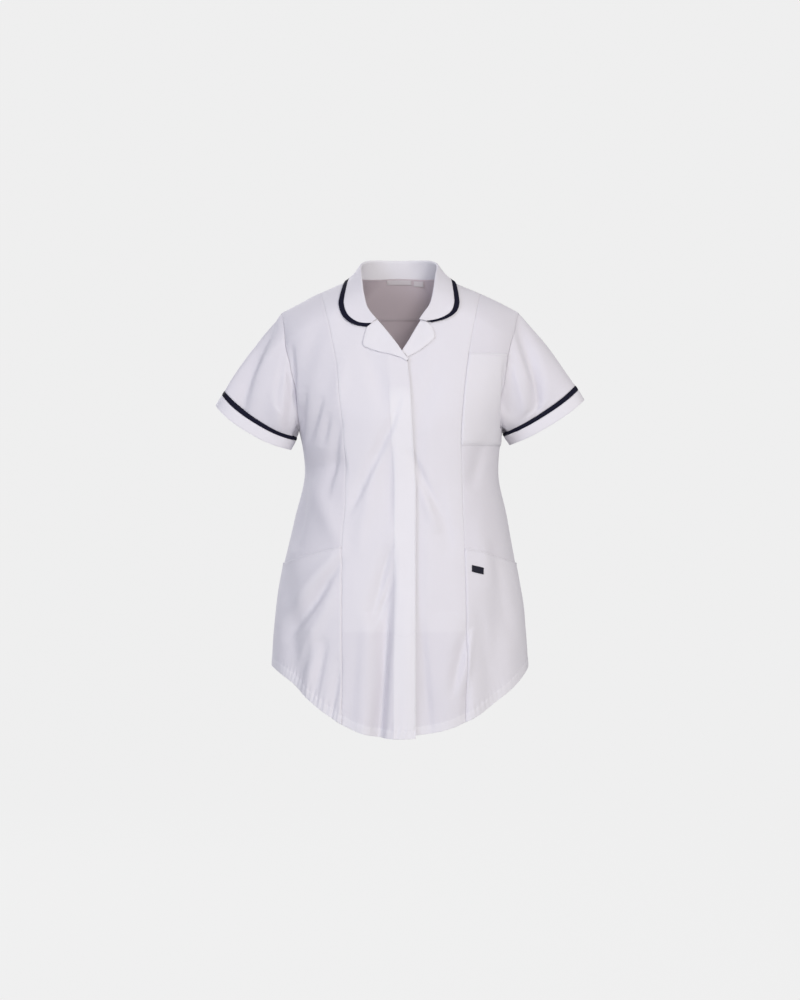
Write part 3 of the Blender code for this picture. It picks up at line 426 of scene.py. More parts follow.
def on_hem(points, grid, face):
    """How far each point is up the hem, and 1 on the turned hem and 0 above it."""
    rise = lengths(points) / hem_slant(grid[:1, :, 0], face)
    return rise, below(rise, HEM_DEPTH + STITCH_ROLL, HEM_END)


def hem_shape(points, grid, face):
    """Thickness, stitch groove and puckers of the turned hem."""
    rise, turned = on_hem(points, grid, face)
    along = lengths(points, 1)[:1]
    lift = HEM_RISE * turned - STITCH_DIP * beside(rise - HEM_DEPTH, STITCH_ROLL)
    window = np.where(rise < HEM_DEPTH, 0.45 + 0.55 * rise / HEM_DEPTH, np.exp((HEM_DEPTH - rise) / HEM_CALM))
    strength = (0.55 + 0.45 * np.sin(along * 13 + 2.0)) * (PUCKERED_SIDE if face == "right" else 1.0)
    return lift + HEM_PUCKER * strength * window * pucker_wave(along + 0.25 * rise)


def piece_points(grid, side, back=False, lift=0.0, wall=CLOTH):
    """Outer and inner points of a piece from its (angle, z) grid."""
    outer, outward = cloth_point(SIGN[side] * grid[..., 0], grid[..., 1], back, lift)
    return outer, outer - outward * np.expand_dims(wall, -1)


PRESS = 0.88            # share of a patch's height that is pressed out of its edge
PRESS_REACH = 0.0022


def pressed(away, reach=PRESS_REACH):
    """Share of a patch's height left near its pressed and stitched edge."""
    return 1 - PRESS * beside(away, reach)


def close_shoulder(outer, inner):
    """Brings a piece's top edge to the shoulder seam, over the last few millimetres below it."""
    beyond_neck = np.clip((np.abs(outer[-1, :, 0]) - NECK_X) / SHOULDER_CLOSING, 0.0, 1.0)
    shift = beside(lengths(outer[::-1])[::-1], SHOULDER_CLOSING) * outer[-1, :, 1] * beyond_neck
    outer[..., 1] -= shift
    inner[..., 1] -= shift


def draw_in(outer, inner, edges, gap=SEAM_GAP):
    """Moves the named borders of a piece inwards by half a gap."""
    for edge in edges:
        at, next_to = (0, 1) if edge.startswith("first") else (-1, -2)
        walls = (outer, inner) if edge.endswith("row") else (outer.swapaxes(0, 1), inner.swapaxes(0, 1))
        step = unit(walls[0][next_to] - walls[0][at]) * gap / 2
        for wall in walls:
            wall[at] += step


def quads(grid):
    """Corners of every square of a grid, in order round it."""
    corners = grid[:-1, :-1], grid[:-1, 1:], grid[1:, 1:], grid[1:, :-1]
    return np.stack(corners, axis=2).reshape((-1, 4) + grid.shape[2:])


def border_loops(rows, columns, ring):
    """Closed runs of (row, column) round a grid, each with its nearest points inside."""
    if ring:
        round_it = np.arange(columns + 1)
        loops = [(0 * round_it, round_it), (0 * round_it + rows - 1, round_it[::-1])]
        return [(row, column, np.clip(row, 1, rows - 2), column) for row, column in loops]
    last_row, last_column = rows - 1, columns - 1
    row = np.concatenate([np.zeros(last_column), np.arange(last_row), np.full(last_column, last_row),
                          np.arange(last_row, -1, -1)]).astype(int)
    column = np.concatenate([np.arange(last_column), np.full(last_row, last_column),
                             np.arange(last_column, 0, -1), np.zeros(rows)]).astype(int)
    return [(row, column, np.clip(row, 1, rows - 2), np.clip(column, 1, columns - 2))]


EDGE_ROUND = 0.00012    # how far a line of points between the two walls stands out of a border


def placed(name, mesh):
    """An object of a mesh, at the origin."""
    made = bpy.data.objects.new(name, mesh)
    bpy.context.scene.collection.objects.link(made)
    return made


def cloth_mesh(name, finish, outer, inner, ring=False, layers=0.0, inside=None):
    """One closed piece: two grids of points joined round their borders, with its grain as UV.

    The layer share is 0 where the cloth is single and 1 where it lies on more of itself, which
    makes it whiter; on the collar's stand it is also painted light over the shade in its hollow.
    Inside is the finish of its inner face, where that isn't the outer one's: the mauve-grey copy
    of the poplin that paints the shade inside the tunic.
    """
    rows, columns = outer.shape[:2]
    count = rows * columns
    layers = np.broadcast_to(layers, (rows, columns)).ravel()
    layered_and_lit = [layers, layers]
    number = np.arange(count).reshape(rows, columns)
    if ring:
        number = np.concatenate([number, number[:, :1]], axis=1)
        outer = np.concatenate([outer, outer[:, :1]], axis=1)
    grain = np.stack([lengths(outer, 1), lengths(outer)], axis=-1)
    faces = [quads(number), quads(number)[:, ::-1] + count]
    grains = [quads(grain), quads(grain)[:, ::-1]]
    points = [outer[:, :columns].reshape(-1, 3), inner.reshape(-1, 3)]
    total = 2 * count
    for row, column, row_inside, column_inside in border_loops(rows, columns, ring):
        border = number[row, column]
        middle = (points[0][border[:-1]] + points[1][border[:-1]]) / 2
        nearest = points[0][number[row_inside, column_inside][:-1]]
        points.append(middle + unit(points[0][border[:-1]] - nearest) * EDGE_ROUND)
        layered_and_lit.append(layers[border[:-1]])
        rim = np.append(np.arange(total, total + len(middle)), total)
        total += len(middle)
        along = grain[row, column]
        for low, high in ((border, rim), (rim, border + count)):
            faces.append(np.stack([low[1:], low[:-1], high[:-1], high[1:]], axis=1))
            grains.append(np.stack([along[1:], along[:-1], along[:-1], along[1:]], axis=1))
    points, faces, grains = np.concatenate(points), np.concatenate(faces), np.concatenate(grains)
    halves = points[faces[:, :3]], points[faces[:, [0, 2, 3]]]
    if sum(np.linalg.det(half).sum() for half in halves) < 0:
        faces, grains = faces[:, ::-1], grains[:, ::-1]
    mesh = bpy.data.meshes.new(name)
    mesh.from_pydata(points.tolist(), [], faces.tolist())
    mesh.uv_layers.new(name="grain").data.foreach_set("uv", grains.ravel())
    mesh.attributes.new("layers", "FLOAT", "POINT").data.foreach_set("value", np.concatenate(layered_and_lit))
    mesh.materials.append(finish)
    if inside:
        mesh.materials.append(inside)
        on_wall = len(quads(number))
        finishes = np.zeros(len(faces), int)
        finishes[on_wall: 2 * on_wall] = 1
        mesh.polygons.foreach_set("material_index", finishes)
    mesh.shade_smooth()
    return placed(name, mesh)


def sewn_cloth(name, node, finish, outer, inner, slot_name="tunic_cloth", **how):
    """A piece that rides on the tunic and stands for one of its solids."""
    piece = cloth_mesh(name, finish, outer, inner, **how)
    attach(piece, "root")
    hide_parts(node)
    return piece


def set_sockets(tree, made, sockets):
    """Gives a node's sockets a value, or joins them to an output or to a node's first output."""
    for name, value in sockets.items():
        if isinstance(value, bpy.types.Node):
            value = next(output for output in value.outputs if output.enabled)
        if isinstance(value, bpy.types.NodeSocket):
            tree.links.new(value, made.inputs[name])
        else:
            made.inputs[name].default_value = value


def add_node(tree, kind, sockets=None, **settings):
    made = tree.nodes.new(kind)
    for name, value in settings.items():
        setattr(made, name, value)
    set_sockets(tree, made, sockets or {})
    return made


def blended(tree, factor, one, other):
    return add_node(tree, "ShaderNodeMix", {"Factor": factor, "A": one, "B": other}, data_type="RGBA")


def bump_chain(tree, shader, heights):
    """Joins (height, strength, distance) triples into the shader's normal."""
    relief = {}
    for height, strength, distance in heights:
        sockets = {"Height": height, "Strength": strength, "Distance": distance, **relief}
        relief = {"Normal": add_node(tree, "ShaderNodeBump", sockets)}
    set_sockets(tree, shader, relief)


def plain_finish(name, sockets):
    """A new material with the given values on its shader, as (material, node tree, shader)."""
    made = bpy.data.materials.new(name)
    made.use_nodes = True
    shader = made.node_tree.nodes["Principled BSDF"]
    set_sockets(made.node_tree, shader, sockets)
    return made, made.node_tree, shader


WAVE_PERIOD = 0.31416   # of a wave texture at a scale of 1


def woven_finish(name, colour, other_colour, pitch, relief, roughness, sheen,
                 layered_and_lit_colour=None, gloss=0.28):
    """Plain weave: warp and weft as two waves on the grain, slubs, and a slow change of tone."""
    made, tree, shader = plain_finish(name, {
        "Roughness": roughness, "Specular IOR Level": gloss, "Sheen Weight": sheen, "Sheen Roughness": 0.55})
    grain = add_node(tree, "ShaderNodeUVMap", uv_map="grain")
    wave = {"Scale": WAVE_PERIOD / pitch, "Distortion": 0.6, "Detail Scale": 0.25, "Vector": grain}
    warp, weft = (add_node(tree, "ShaderNodeTexWave", wave, bands_direction=way) for way in "XY")
    weave = add_node(tree, "ShaderNodeMath", {0: warp.outputs["Fac"], 1: weft.outputs["Fac"]},
                     operation="MULTIPLY")
    place = add_node(tree, "ShaderNodeTexCoord").outputs["Object"]
    slub = add_node(tree, "ShaderNodeTexNoise", {"Scale": 0.12 / pitch, "Detail": 3.0, "Vector": grain})
    slow = {"Scale": 9.0, "Detail": 4.0, "Roughness": 0.62, "Vector": place}
    coloured = blended(tree, add_node(tree, "ShaderNodeTexNoise", slow), colour, other_colour)
    # Layered cloth is whiter; on the collar's stand this also paints light over the shade in its hollow.
    if layered_and_lit_colour:
        layers = add_node(tree, "ShaderNodeAttribute", attribute_name="layers").outputs["Fac"]
        coloured = blended(tree, layers, coloured, layered_and_lit_colour)
    set_sockets(tree, shader, {"Base Color": coloured})
    bump_chain(tree, shader, ((slub, 0.25, relief * 1.5), (weave, 0.55, relief)))
    return made


POPLIN = woven_finish("tunic_poplin", (0.700, 0.680, 0.724, 1.0), (0.668, 0.648, 0.694, 1.0),
                      0.00055, 0.00012, 0.78, 0.12, (0.752, 0.738, 0.772, 1.0))
# The same poplin in a darker mauve-grey, for the inside of the back and the neck facing: painted shade of the
# tunic's inside.
POPLIN_PAINTED_SHADE = woven_finish("tunic_poplin_painted_shade", (0.735, 0.640, 0.665, 1.0), (0.690, 0.600, 0.628, 1.0),
                             0.00055, 0.00012, 0.85, 0.05)


def thread_finish(name, colour):
    """Spun sewing thread: a slight sheen, and its twist as a fine ripple."""
    made, tree, shader = plain_finish(name, {"Roughness": 0.5, "Sheen Weight": 0.1})
    place = add_node(tree, "ShaderNodeTexCoord").outputs["Object"]
    twist = add_node(tree, "ShaderNodeTexNoise", {"Scale": 2200.0, "Vector": place})
    darker = tuple(0.8 * part for part in colour[:3]) + (1.0,)
    set_sockets(tree, shader, {"Base Color": blended(tree, twist, colour, darker)})
    bump_chain(tree, shader, ((twist, 0.4, 0.0001),))
    return made


WHITE_THREAD = thread_finish("white_thread", (0.70, 0.68, 0.74, 1.0))


def stitch_tree():
    """Rows of stitches: a slim bead of thread at every pitch along the lines of the mesh."""
    tree = bpy.data.node_groups.new("row_of_stitches", "GeometryNodeTree")
    identifiers = {}
    for name, kind in (("Lines", "Geometry"), ("Pitch", "Float"), ("Stitch length", "Float"),
                       ("Thread width", "Float"), ("Thread", "Material")):
        socket = tree.interface.new_socket(name, in_out="INPUT", socket_type="NodeSocket" + kind)
        identifiers[name] = socket.identifier
    tree.interface.new_socket("Stitches", in_out="OUTPUT", socket_type="NodeSocketGeometry")
    given = add_node(tree, "NodeGroupInput").outputs
    width, length = given["Thread width"], given["Stitch length"]
    curve = add_node(tree, "GeometryNodeMeshToCurve", {"Mesh": given["Lines"]})
    spaced = add_node(tree, "GeometryNodeResampleCurve", {"Curve": curve, "Length": given["Pitch"]},
                      mode="LENGTH")
    bead = add_node(tree, "GeometryNodeMeshUVSphere", {"Segments": 6, "Rings": 4, "Radius": 0.5})
    tangent = add_node(tree, "GeometryNodeInputTangent")
    turn = add_node(tree, "FunctionNodeAlignRotationToVector", {"Vector": tangent}, axis="Z")
    size = add_node(tree, "ShaderNodeCombineXYZ", {"X": width, "Y": width, "Z": length})
    beads = add_node(tree, "GeometryNodeInstanceOnPoints",
                     {"Points": spaced, "Instance": bead, "Rotation": turn, "Scale": size})
    real = add_node(tree, "GeometryNodeRealizeInstances", {"Geometry": beads})
    painted = add_node(tree, "GeometryNodeSetMaterial", {"Geometry": real, "Material": given["Thread"]})
    add_node(tree, "NodeGroupOutput", {"Stitches": painted})
    return tree, identifiers


STITCH_TREE, STITCH_SOCKETS = stitch_tree()
STITCH = {"Pitch": 0.0030, "Stitch length": 0.0023, "Thread width": 0.00042}


def stitch_rows(name, lines, thread=WHITE_THREAD, stitch=STITCH):
    """Stitches along lines of points, as a mesh of their own that rides on the tunic."""
    ends = np.cumsum([len(line) for line in lines])
    edges = [(at, at + 1) for at in range(ends[-1] - 1) if at + 1 not in ends]
    guide = bpy.data.meshes.new(name + "_guide")
    guide.from_pydata(np.concatenate(lines).tolist(), edges, [])
    sewn = placed(name + "_guide", guide)
    rows = sewn.modifiers.new("stitches", "NODES")
    rows.node_group = STITCH_TREE
    for label, value in {**stitch, "Thread": thread}.items():
        rows[STITCH_SOCKETS[label]] = value
    graph = bpy.context.evaluated_depsgraph_get()
    mesh = bpy.data.meshes.new_from_object(sewn.evaluated_get(graph))
    mesh.name = name
    mesh.shade_smooth()
    bpy.data.objects.remove(sewn, do_unlink=True)
    bpy.data.meshes.remove(guide)
    piece = placed(name, mesh)
    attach(piece, "root")
    return piece


STITCH_LIFT = 0.00012   # of the middle of the thread over the cloth


def on_piece(outer, inner, rows, columns):
    """Line of points on a piece's outer face, at fractional rows and columns of its grid."""
    rows, columns = np.broadcast_arrays(np.asarray(rows, float), np.asarray(columns, float))
    found = []
    for grid in (outer, inner):
        low_row = np.clip(rows.astype(int), 0, grid.shape[0] - 2)
        low_column = np.clip(columns.astype(int), 0, grid.shape[1] - 2)
        v, u = (rows - low_row)[:, None], (columns - low_column)[:, None]
        near = grid[low_row, low_column] * (1 - u) + grid[low_row, low_column + 1] * u
        far = grid[low_row + 1, low_column] * (1 - u) + grid[low_row + 1, low_column + 1] * u
        found.append(near * (1 - v) + far * v)
    return found[0] + unit(found[0] - found[1]) * STITCH_LIFT


def across_line(outer, inner, row):
    """Line of points along one row of a piece, from side to side."""
    return on_piece(outer, inner, row, np.arange(0.5, outer.shape[1] - 1.0, 0.5))


def back_grid():
    """(angle, z) grid of the back, from the right side seam to the left one, and its columns' places."""
    inner_part = np.linspace(0.0, NECK_PLACE, NECK_COLUMNS + 1)
    outer_part = climb(NECK_PLACE, 1.0, np.linspace(0.0, 1.0, SHOULDER_COLUMNS + 1))[1:]
    near = 1 - NEAR_SEAM[::-1] / HALF_BACK
    reach = np.concatenate([inner_part, outer_part[outer_part < near[0] - 0.004], near])
    place = np.concatenate([-reach[:0:-1], reach])
    angle = place * math.pi / 2
    heights = row_height(angle, "back")
    lower = np.stack([np.broadcast_to(angle, heights.shape), heights], axis=-1)
    right, left = armhole_line("right") * (-1, 1), armhole_line("left")
    across = (place + 1) / 2
    mouth_angle = np.where(place < 0, -right[-1, 0], left[-1, 0]) * place
    mouth = np.stack([mouth_angle, np.full(len(place), MOUTH_Z)], axis=1)
    chest = fill(right, left, lower[-1], mouth, CHEST, across, reach=3)
    heights = climb(MOUTH_Z, SHOULDER_END_Z, CROWN)
    right, left = seam_line(ARMHOLE, "right", heights) * (-1, 1), seam_line(ARMHOLE, "left", heights)
    reach = np.abs(place)
    on_shoulder = (reach - NECK_PLACE) / (1 - NECK_PLACE)
    x = np.where(reach > NECK_PLACE, climb(NECK_X, SHOULDER_X, on_shoulder), NECK_X * reach / NECK_PLACE)
    z = np.where(reach > NECK_PLACE, shoulder_height(x), neck_seam_height(x))
    crown = fill(right, left, mouth, place_at(x * np.sign(place), z), CROWN, across)
    return np.concatenate([lower, chest[1:], crown[1:]]), place


def armhole_edge(outer, inner, column):
    """Outer and inner points of a piece's armhole edge, from the armpit up."""
    return outer[ARMPIT_ROW:, column].copy(), inner[ARMPIT_ROW:, column].copy()


SEWN_ROUND = ("first column", "last column", "last row")
BACK_GRID, BACK_PLACES = back_grid()
flat_points, _ = piece_points(BACK_GRID, "left", back=True)
BACK_LIFT = seam_shape(flat_points, SEWN_ROUND) + hem_shape(flat_points, BACK_GRID, "back")
outer, inner = piece_points(BACK_GRID, "left", back=True, lift=BACK_LIFT)
close_shoulder(outer, inner)
armhole_edges = {"right": [armhole_edge(outer, inner, 0)], "left": [armhole_edge(outer, inner, -1)]}
draw_in(outer, inner, SEWN_ROUND)
# Its inner face is the mauve-grey copy of the poplin: painted shade of the tunic's inside.
back = sewn_cloth("tunic_back", "back", POPLIN, outer, inner, inside=POPLIN_PAINTED_SHADE)
stitches = stitch_rows("back_hem_stitches", [across_line(outer, inner, HEM_STITCH_ROW)])

# ---------------------------------------------------------------- side fronts
# The side fronts run from the hem to the armhole and the outer half of the shoulder. They are of
# the same poplin as the back, and join it at the side seams and the centre fronts at the
# princess seams.

SIDE_WIDTH = 0.165      # of a side front, round the body
PRINCESS_TOP_Z = -0.018     # height at which the princess seam meets the shoulder seam
PRINCESS = [SeamX(*row) for row in (
    (-0.780, 0.0960, 0.1090),
    (-0.630, 0.0963, 0.1110),
    (-0.540, 0.0963, 0.1096),
    (-0.449, 0.0965, 0.1072),
    (-0.373, 0.0943, 0.1018),
    (-0.281, 0.0959, 0.1000),
    (-0.223, 0.0992, 0.1044),
    (-0.141, 0.1074, 0.1135),
    (-0.086, 0.1180, 0.1230),
    (-0.018, 0.1351, 0.1380),
)]
SIDE_SHARES = across_piece(SIDE_WIDTH)
SETTLING = 14           # times that the rows' heights and angles are found from each other


def hanging_rows(side, columns, x_at):
    """Angles and heights of the rows up to the armpit, where x_at gives the columns' distances."""
    z = np.full((len(HANG), columns), ARMPIT_Z)
    for _ in range(SETTLING):
        angle = angle_at(x_at(z), z)
        z = row_height(angle, side)
    return angle, z


def princess_x(side, z=PRINCESS_TOP_Z):
    return smooth(PRINCESS, side, z)


def side_angles(side, shares):
    """Angles of columns between the princess seam and the side seam, from the hem to the armpit."""
    seam, _ = hanging_rows(side, 1, lambda z: princess_x(side, z))
    return climb(seam, math.pi / 2, shares)


def princess_line(side):
    """The princess seam beside the rows of the crown, up to the shoulder."""
    return seam_line(PRINCESS, side, climb(MOUTH_Z, float(shoulder_height(princess_x(side))), CROWN))


def side_front_grid(side):
    """(angle, z) grid of a side front, from its princess seam to the side seam and armhole."""
    angle = side_angles(side, SIDE_SHARES)
    lower = np.stack([angle, row_height(angle, side)], axis=-1)
    princess = seam_line(PRINCESS, side, climb(ARMPIT_Z, MOUTH_Z, CHEST))
    armhole = armhole_line(side)
    mouth = climb(princess[-1], armhole[-1], SIDE_SHARES[:, None])
    chest = fill(princess, armhole, lower[-1], mouth, CHEST, SIDE_SHARES, reach=3)
    armhole = seam_line(ARMHOLE, side, climb(MOUTH_Z, SHOULDER_END_Z, CROWN))
    top = shoulder_line(princess_x(side), SHOULDER_X, SIDE_SHARES)
    crown = fill(princess_line(side), armhole, mouth, top, CROWN, SIDE_SHARES)
    return np.concatenate([lower, chest[1:], crown[1:]])


side_grids = {}
for side in SIGN:
    side_grids[side] = grid = side_front_grid(side)
    flat_points, _ = piece_points(grid, side)
    lift = seam_shape(flat_points, SEWN_ROUND) + hem_shape(flat_points, grid, side)
    outer, inner = piece_points(grid, side, lift=lift)
    close_shoulder(outer, inner)
    armhole_edges[side].insert(0, armhole_edge(outer, inner, -1))
    draw_in(outer, inner, SEWN_ROUND)
    piece = sewn_cloth(f"tunic_front_side_{side}", f"front_side_{side}", POPLIN, outer, inner)

# ---------------------------------------------------------------- centre fronts
# The centre fronts run from the hem to the neck and the inner half of the shoulder. The right one
# laps over the left one, and a row of stitches down it holds the hidden buttonhole strip, with a
# curved tack at the strip's foot.

LAP = 0.0020            # how far the overlapping fronts part from the common surface, each way
LAP_END = {"right": 0.034, "left": 0.048}   # where each front is back on that surface
LAP_EASE = 0.020
BREAK_Z = -0.1434       # where the reveres turn out
PLACKET_WIDTH = 0.0360
PLACKET_TOP_Z = -0.185
PLACKET_RISE = 0.00045
PLACKET_END = 0.0006    # how far beyond its row of stitches the strip ends
PLACKET_ROLL = 0.0003
PLACKET_FADE = 0.006    # height over which it fades out at its top
GROOVE_ROLL = 0.0007
GROOVE_FADE = 0.003
PLACKET_COLUMN = 16.0   # column of the row of stitches beside it
EDGE_COLUMN = 1.85      # column of the row of stitches down the front edge
EDGE_END = 0.012        # how far below the break that row ends
TACK_COLUMN = 2.0       # column at which the tack reaches the front edge
TACK_DROP = 0.010
TACK_LIFT = 0.011       # how far it turns up again at its end
TACK_BOTTOM = 0.62      # share of the way along it at which it starts to
TACK_POINTS = 30
FLY_FOOT_Z = -0.590
FACED = 0.36            # how much whiter the fronts are where they are faced
FACED_Z = FLY_FOOT_Z - 0.0015   # down to here
FACED_FADE = 0.0010
FRONT_EDGE = [SeamX(*row) for row in (
    (-0.780, -0.0257, -0.0080),
    (-0.480, -0.0257, -0.0080),
    (-0.400, -0.0240, -0.0100),
    (-0.343, -0.0228, -0.0111),
    (-0.303, -0.0207, -0.0106),
    (-0.1434, -0.0124, -0.0070),
    (-0.123, 0.0008, 0.0062),
    (-0.104, 0.0144, 0.0182),
    (-0.085, 0.0288, 0.0288),
    (-0.068, 0.0430, 0.0392),
    (-0.052, 0.0570, 0.0485),
    (-0.035, 0.0665, 0.0590),
    (-0.012, 0.0715, 0.0680),
    (0.010, 0.0720, 0.0720),
)]
PLACKET_COLUMNS = np.array((0.0, 0.0006, 0.0018, 0.0040, 0.0070, 0.0100, 0.0130, 0.0160, 0.0190, 0.0220,
                            0.0250, 0.0280, 0.0310, 0.0334, 0.0348, 0.0355, 0.0360, 0.0365, 0.0372, 0.0386))
CENTRE_WIDTH = 0.084    # of a centre front, round the body
BEYOND_PLACKET = across_piece(CENTRE_WIDTH)
BEYOND_PLACKET = BEYOND_PLACKET[BEYOND_PLACKET > 0.03]
OFFSETS = np.concatenate([PLACKET_COLUMNS, np.full(len(BEYOND_PLACKET), PLACKET_COLUMNS[-1])])
SPREAD = np.concatenate([np.zeros(len(PLACKET_COLUMNS)), BEYOND_PLACKET])


def overlap(x, side):
    """How far a centre front is moved out, or in, where the fronts overlap."""
    return LAP * -SIGN[side] * eased(np.clip((LAP_END[side] - x) / LAP_EASE, 0.0, 1.0))


def centre_front_x(side, z):
    """Distances from the centre line of a centre front's columns at some heights."""
    edge = smooth(FRONT_EDGE, side, z)
    return edge + OFFSETS + (princess_x(side, z) - edge - PLACKET_COLUMNS[-1]) * SPREAD


def centre_front_grid(side):
    """(angle, z) grid of a centre front, from its front edge to its princess seam."""
    lower = np.stack(hanging_rows(side, len(OFFSETS), lambda z: centre_front_x(side, z)), axis=-1)
    edge_z = climb(ARMPIT_Z, BREAK_Z, CHEST[1:])[:, None]
    seam_z = climb(ARMPIT_Z, MOUTH_Z, CHEST[1:])[:, None]
    x = centre_front_x(side, edge_z)
    along = (x - x[:, :1]) / (x[:, -1:] - x[:, :1])
    chest = place_at(x + (princess_x(side, seam_z) - x[:, -1:]) * along, climb(edge_z, seam_z, along))
    neckline = seam_line(FRONT_EDGE, side, climb(BREAK_Z, NECK_Z, CROWN))
    top = shoulder_line(NECK_X, princess_x(side), along[-1])
    crown = fill(neckline, princess_line(side), chest[-1], top, CROWN, along[-1])
    return np.concatenate([lower, chest, crown[1:]])


def row_at(z, grid):
    """Fractional row at which a grid's first column passes a height."""
    return np.interp(z, grid[:, 0, 1], np.arange(len(grid)))


centre_grids = {}
for side in SIGN:
    centre_grids[side] = grid = centre_front_grid(side)
    heights = grid[..., 1]
    flat_points, _ = piece_points(grid, side)
    lift = overlap(section_x(grid[..., 0], heights), side) + seam_shape(flat_points, SEWN_ROUND[1:])
    lift += hem_shape(flat_points, grid, side)
    layers = np.maximum(HEM_LAYERS * on_hem(flat_points, grid, side)[1],
                        FACED * below(-heights, -FACED_Z, FACED_FADE))
    if side == "right":
        from_edge = lengths(flat_points, 1)
        below_top = below(heights, PLACKET_TOP_Z, PLACKET_FADE)
        on_placket = below_top * below(from_edge, PLACKET_WIDTH + PLACKET_END, PLACKET_ROLL)
        above_tack = below(-heights, -FLY_FOOT_Z, GROOVE_FADE)
        lift += PLACKET_RISE * on_placket
        lift -= STITCH_DIP * below_top * above_tack * beside(from_edge - PLACKET_WIDTH, GROOVE_ROLL)
        layers = np.maximum(layers, on_placket)
    outer, inner = piece_points(grid, side, lift=lift)
    close_shoulder(outer, inner)
    draw_in(outer, inner, SEWN_ROUND[1:])
    node = f"front_centre_{side}"
    piece = sewn_cloth("tunic_" + node, node, POPLIN, outer, inner, layers=layers)
    edge_rows = np.arange(HEM_STITCH_ROW, row_at(BREAK_Z - EDGE_END, grid), 0.5)
    lines = [across_line(outer, inner, HEM_STITCH_ROW), on_piece(outer, inner, edge_rows, EDGE_COLUMN)]
    if side == "right":
        placket_rows = np.arange(row_at(FLY_FOOT_Z, grid), row_at(PLACKET_TOP_Z, grid), 0.5)
        lines.append(on_piece(outer, inner, placket_rows, PLACKET_COLUMN))
        turn = np.linspace(0.0, 1.0, TACK_POINTS)
        drop = TACK_DROP * np.sin(turn * math.pi / 2) ** 0.8
        drop -= TACK_LIFT * np.clip((turn - TACK_BOTTOM) / (1 - TACK_BOTTOM), 0, 1) ** 1.4
        tack_columns = climb(PLACKET_COLUMN, TACK_COLUMN, turn)
        lines.append(on_piece(outer, inner, row_at(FLY_FOOT_Z - drop, grid), tack_columns))
    stitches = stitch_rows(f"front_{side}_stitches", lines)

# ---------------------------------------------------------------- buttonhole strip
# A strip of poplin behind the right front's edge that holds the buttonholes, so that the
# fastening is hidden. It is stitched down with the row along the front.

FLY_CLOTH = 0.0008
FLY_INSET = 0.0020
FLY_TOP_Z = -0.165
FLY_COLUMNS = 17        # how many of the front's columns it is made on
grid = centre_grids["right"]
grid = grid[(grid[:, 0, 1] > FLY_FOOT_Z) & (grid[:, 0, 1] < FLY_TOP_Z), :FLY_COLUMNS].copy()
left_edge = -smooth(FRONT_EDGE, "left", grid[:, :1, 1])
right_edge = smooth(FRONT_EDGE, "right", grid[:, :1, 1])
grid[..., 0] = angle_at(climb(right_edge, left_edge, np.linspace(0.0, 1.0, FLY_COLUMNS)), grid[..., 1])
outer, inner = piece_points(grid, "right", lift=(FLY_CLOTH - CLOTH) / 2, wall=FLY_CLOTH)
draw_in(outer, inner, ("first column", "last column"), 2 * FLY_INSET)
fly_strip = sewn_cloth("buttonhole_strip", "fly_strip", POPLIN, outer, inner)

# ---------------------------------------------------------------- back neck facing
# A shaped facing of the same poplin inside the back of the neck, drawn in the mauve-grey copy of
# it that paints the shade there. It is caught in the neck and shoulder seams, and its lower edge
# is turned in and stitched.

FACING_GAP = 0.0006
FACING_CLOTH = 0.0010
across_facing = np.abs(BACK_PLACES) < NECK_PLACE + 1e-6
grid = BACK_GRID[FACING_ROW:, across_facing]
lift = BACK_LIFT[FACING_ROW:, across_facing] - CLOTH - FACING_GAP
outer, inner = piece_points(grid, "left", back=True, lift=lift, wall=FACING_CLOTH)
height = pressed(lengths(outer))
lift += FACING_GAP * (1 - height)
outer, inner = piece_points(grid, "left", back=True, lift=lift, wall=FACING_CLOTH * height)
facing = sewn_cloth("back_neck_facing_cloth", "back_neck_facing", POPLIN_PAINTED_SHADE, outer, inner)
facing_stitches = stitch_rows("facing_stitches",
                              [across_line(inner, outer, row) for row in (1.0, len(outer) - 3.0)])

# ---------------------------------------------------------------- hip pockets
# A patch of poplin on each side front, caught in the princess seam, the side seam and the hem. Its
# mouth slopes down to the side seam and is turned over and stitched.

LAY_GAP = 0.0006        # under a piece that lies on another
POCKET_CLOTH = 0.0012
POCKET_MOUTH_Z = -0.4430    # at the centre line, if the mouth ran on to it
POCKET_MOUTH_SIDE_Z = -0.481
MOUTH_ROLL = 0.0006
MOUTH_REACH = 0.004
SEAM_PRESS = 0.0012     # how near its first seam a pocket is pressed flat
HEM_ROWS = len(HEM_RISES)
POCKET_ROWS = 90
POCKET_COLUMNS = 150    # fine enough for the puckers of the hem
near = len(NEAR_SEAM)
pocket_middle = np.linspace(SIDE_SHARES[near - 1], SIDE_SHARES[-near], POCKET_COLUMNS)
POCKET_SHARES = np.concatenate([SIDE_SHARES[:near - 1], pocket_middle, SIDE_SHARES[1 - near:]])


def to_mouth(hem_top, angle):
    """Heights of a hip pocket's rows from the top of its hem to its mouth."""
    mouth = climb(POCKET_MOUTH_SIDE_Z, POCKET_MOUTH_Z, np.cos(angle) ** 2)
    return climb(hem_top, mouth, np.linspace(0.0, 1.0, POCKET_ROWS + 1)[1:, None] ** 0.96)


def hip_pocket_grid(side):
    """(angle, z) grid of a hip pocket, from the hem to its mouth."""
    angle = side_angles(side, POCKET_SHARES)
    on_turning = row_height(angle, side)[:HEM_ROWS]
    z = np.concatenate([on_turning, to_mouth(on_turning[-1], angle[HEM_ROWS - 1])])
    angle = climb(angle_at(princess_x(side, z[:, :1]), z[:, :1]), math.pi / 2, POCKET_SHARES)
    z[HEM_ROWS:] = to_mouth(on_turning[-1], angle[HEM_ROWS:])
    return np.stack([angle, z], axis=-1)


